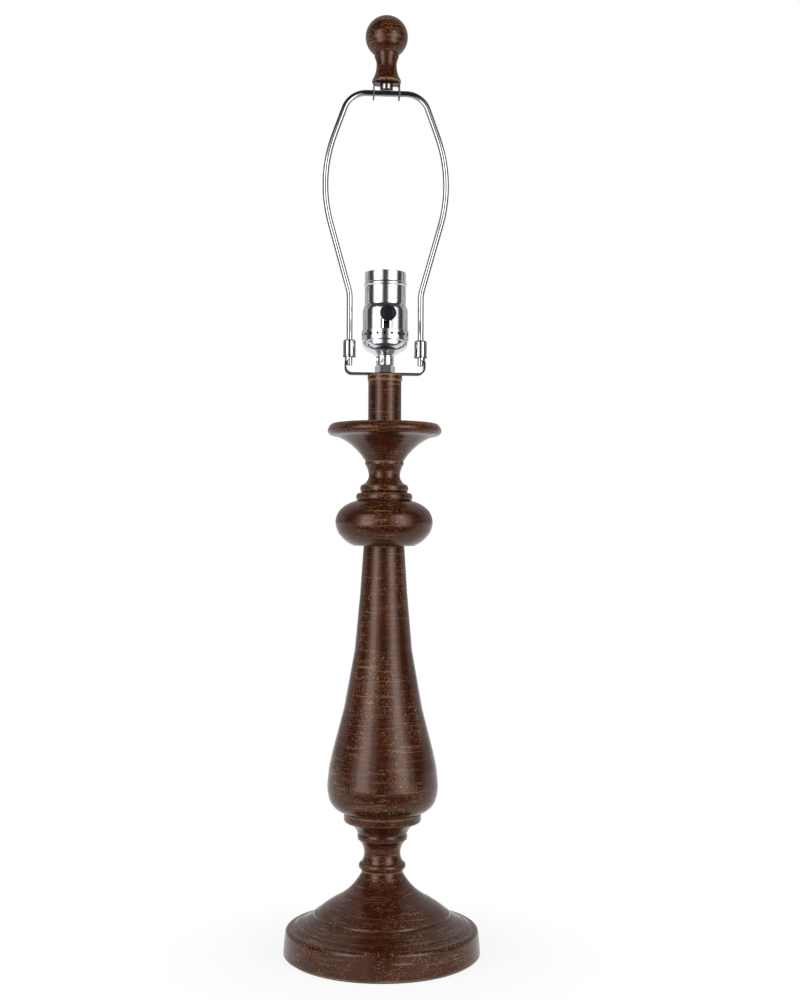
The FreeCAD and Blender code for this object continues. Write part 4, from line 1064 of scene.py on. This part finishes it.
def light_world(scene, towards_camera, fill):
    """White all round for the camera. Metal and lacquer see a pale backdrop behind the lamp and
    the dark of the studio on both sides of the camera and beside the softboxes."""
    world = bpy.data.worlds.new("studio")
    scene.world = world
    world.use_nodes = True
    tree = world.node_tree
    tree.nodes.clear()
    way = add_node(tree, "TexCoord").outputs["Generated"]
    flat = add_node(tree, "VectorMath", {0: way, 1: (1, 1, 0)}, operation="MULTIPLY")
    level = add_node(tree, "VectorMath", {0: flat}, operation="NORMALIZE")
    facing = add_node(tree, "VectorMath", {0: level, 1: towards_camera}, operation="DOT_PRODUCT")
    backdrop = add_node(tree, "MapRange", {
        0: facing.outputs["Value"], FROM_LOW: BACKDROP_ENDS, FROM_HIGH: STUDIO_BEGINS,
        TO_LOW: BACKDROP_WHITE, TO_HIGH: STUDIO_DARK})
    path = add_node(tree, "LightPath")
    gloss = add_node(tree, "Mix", {
        0: path.outputs["Is Glossy Ray"], NUMBER_A: fill, NUMBER_B: backdrop}, data_type="FLOAT")
    clear = add_node(tree, "Math", {
        0: path.outputs["Is Camera Ray"], 1: path.outputs["Is Transmission Ray"]},
        operation="MAXIMUM")
    strength = add_node(tree, "Mix", {0: clear, NUMBER_A: gloss, NUMBER_B: 1.0}, data_type="FLOAT")
    light = add_node(tree, "Background", {"Color": (1, 1, 1, 1), "Strength": strength})
    add_node(tree, "OutputWorld", {"Surface": light})


# ------------------------------------------------------------------ the add-on
STEPS = (
    LAMP_OT_stage, LAMP_OT_foot, LAMP_OT_column, LAMP_OT_candle, LAMP_OT_saddle,
    LAMP_OT_socket_cap, LAMP_OT_socket_shell, LAMP_OT_screw_shell, LAMP_OT_set_screw,
    LAMP_OT_key, LAMP_OT_harp, LAMP_OT_harp_top, LAMP_OT_finial, LAMP_OT_inner_pieces,
)


class VIEW3D_PT_lamp(bpy.types.Panel):
    """Every step of the lamp, in order"""
    bl_label = "Candlestick lamp"
    bl_space_type = "VIEW_3D"
    bl_region_type = "UI"
    bl_category = "Lamp"

    def draw(self, context):
        for step in STEPS:
            self.layout.operator(step.bl_idname)


CLASSES = (LampSizes, LampColours, StageSettings, *STEPS, VIEW3D_PT_lamp)


def register():
    """Add the classes, and their settings to the scene."""
    for item in CLASSES:
        bpy.utils.register_class(item)
    bpy.types.Scene.lamp_sizes = PointerProperty(type=LampSizes)
    bpy.types.Scene.lamp_colours = PointerProperty(type=LampColours)
    bpy.types.Scene.stage_settings = PointerProperty(type=StageSettings)


def unregister():
    """Take them away again."""
    del bpy.types.Scene.stage_settings
    del bpy.types.Scene.lamp_colours
    del bpy.types.Scene.lamp_sizes
    for item in reversed(CLASSES):
        bpy.utils.unregister_class(item)


def main():
    """Build the lamp step by step."""
    register()
    for step in STEPS:
        family, name = step.bl_idname.split(".")
        getattr(getattr(bpy.ops, family), name)()


if __name__ == "__main__":
    main()
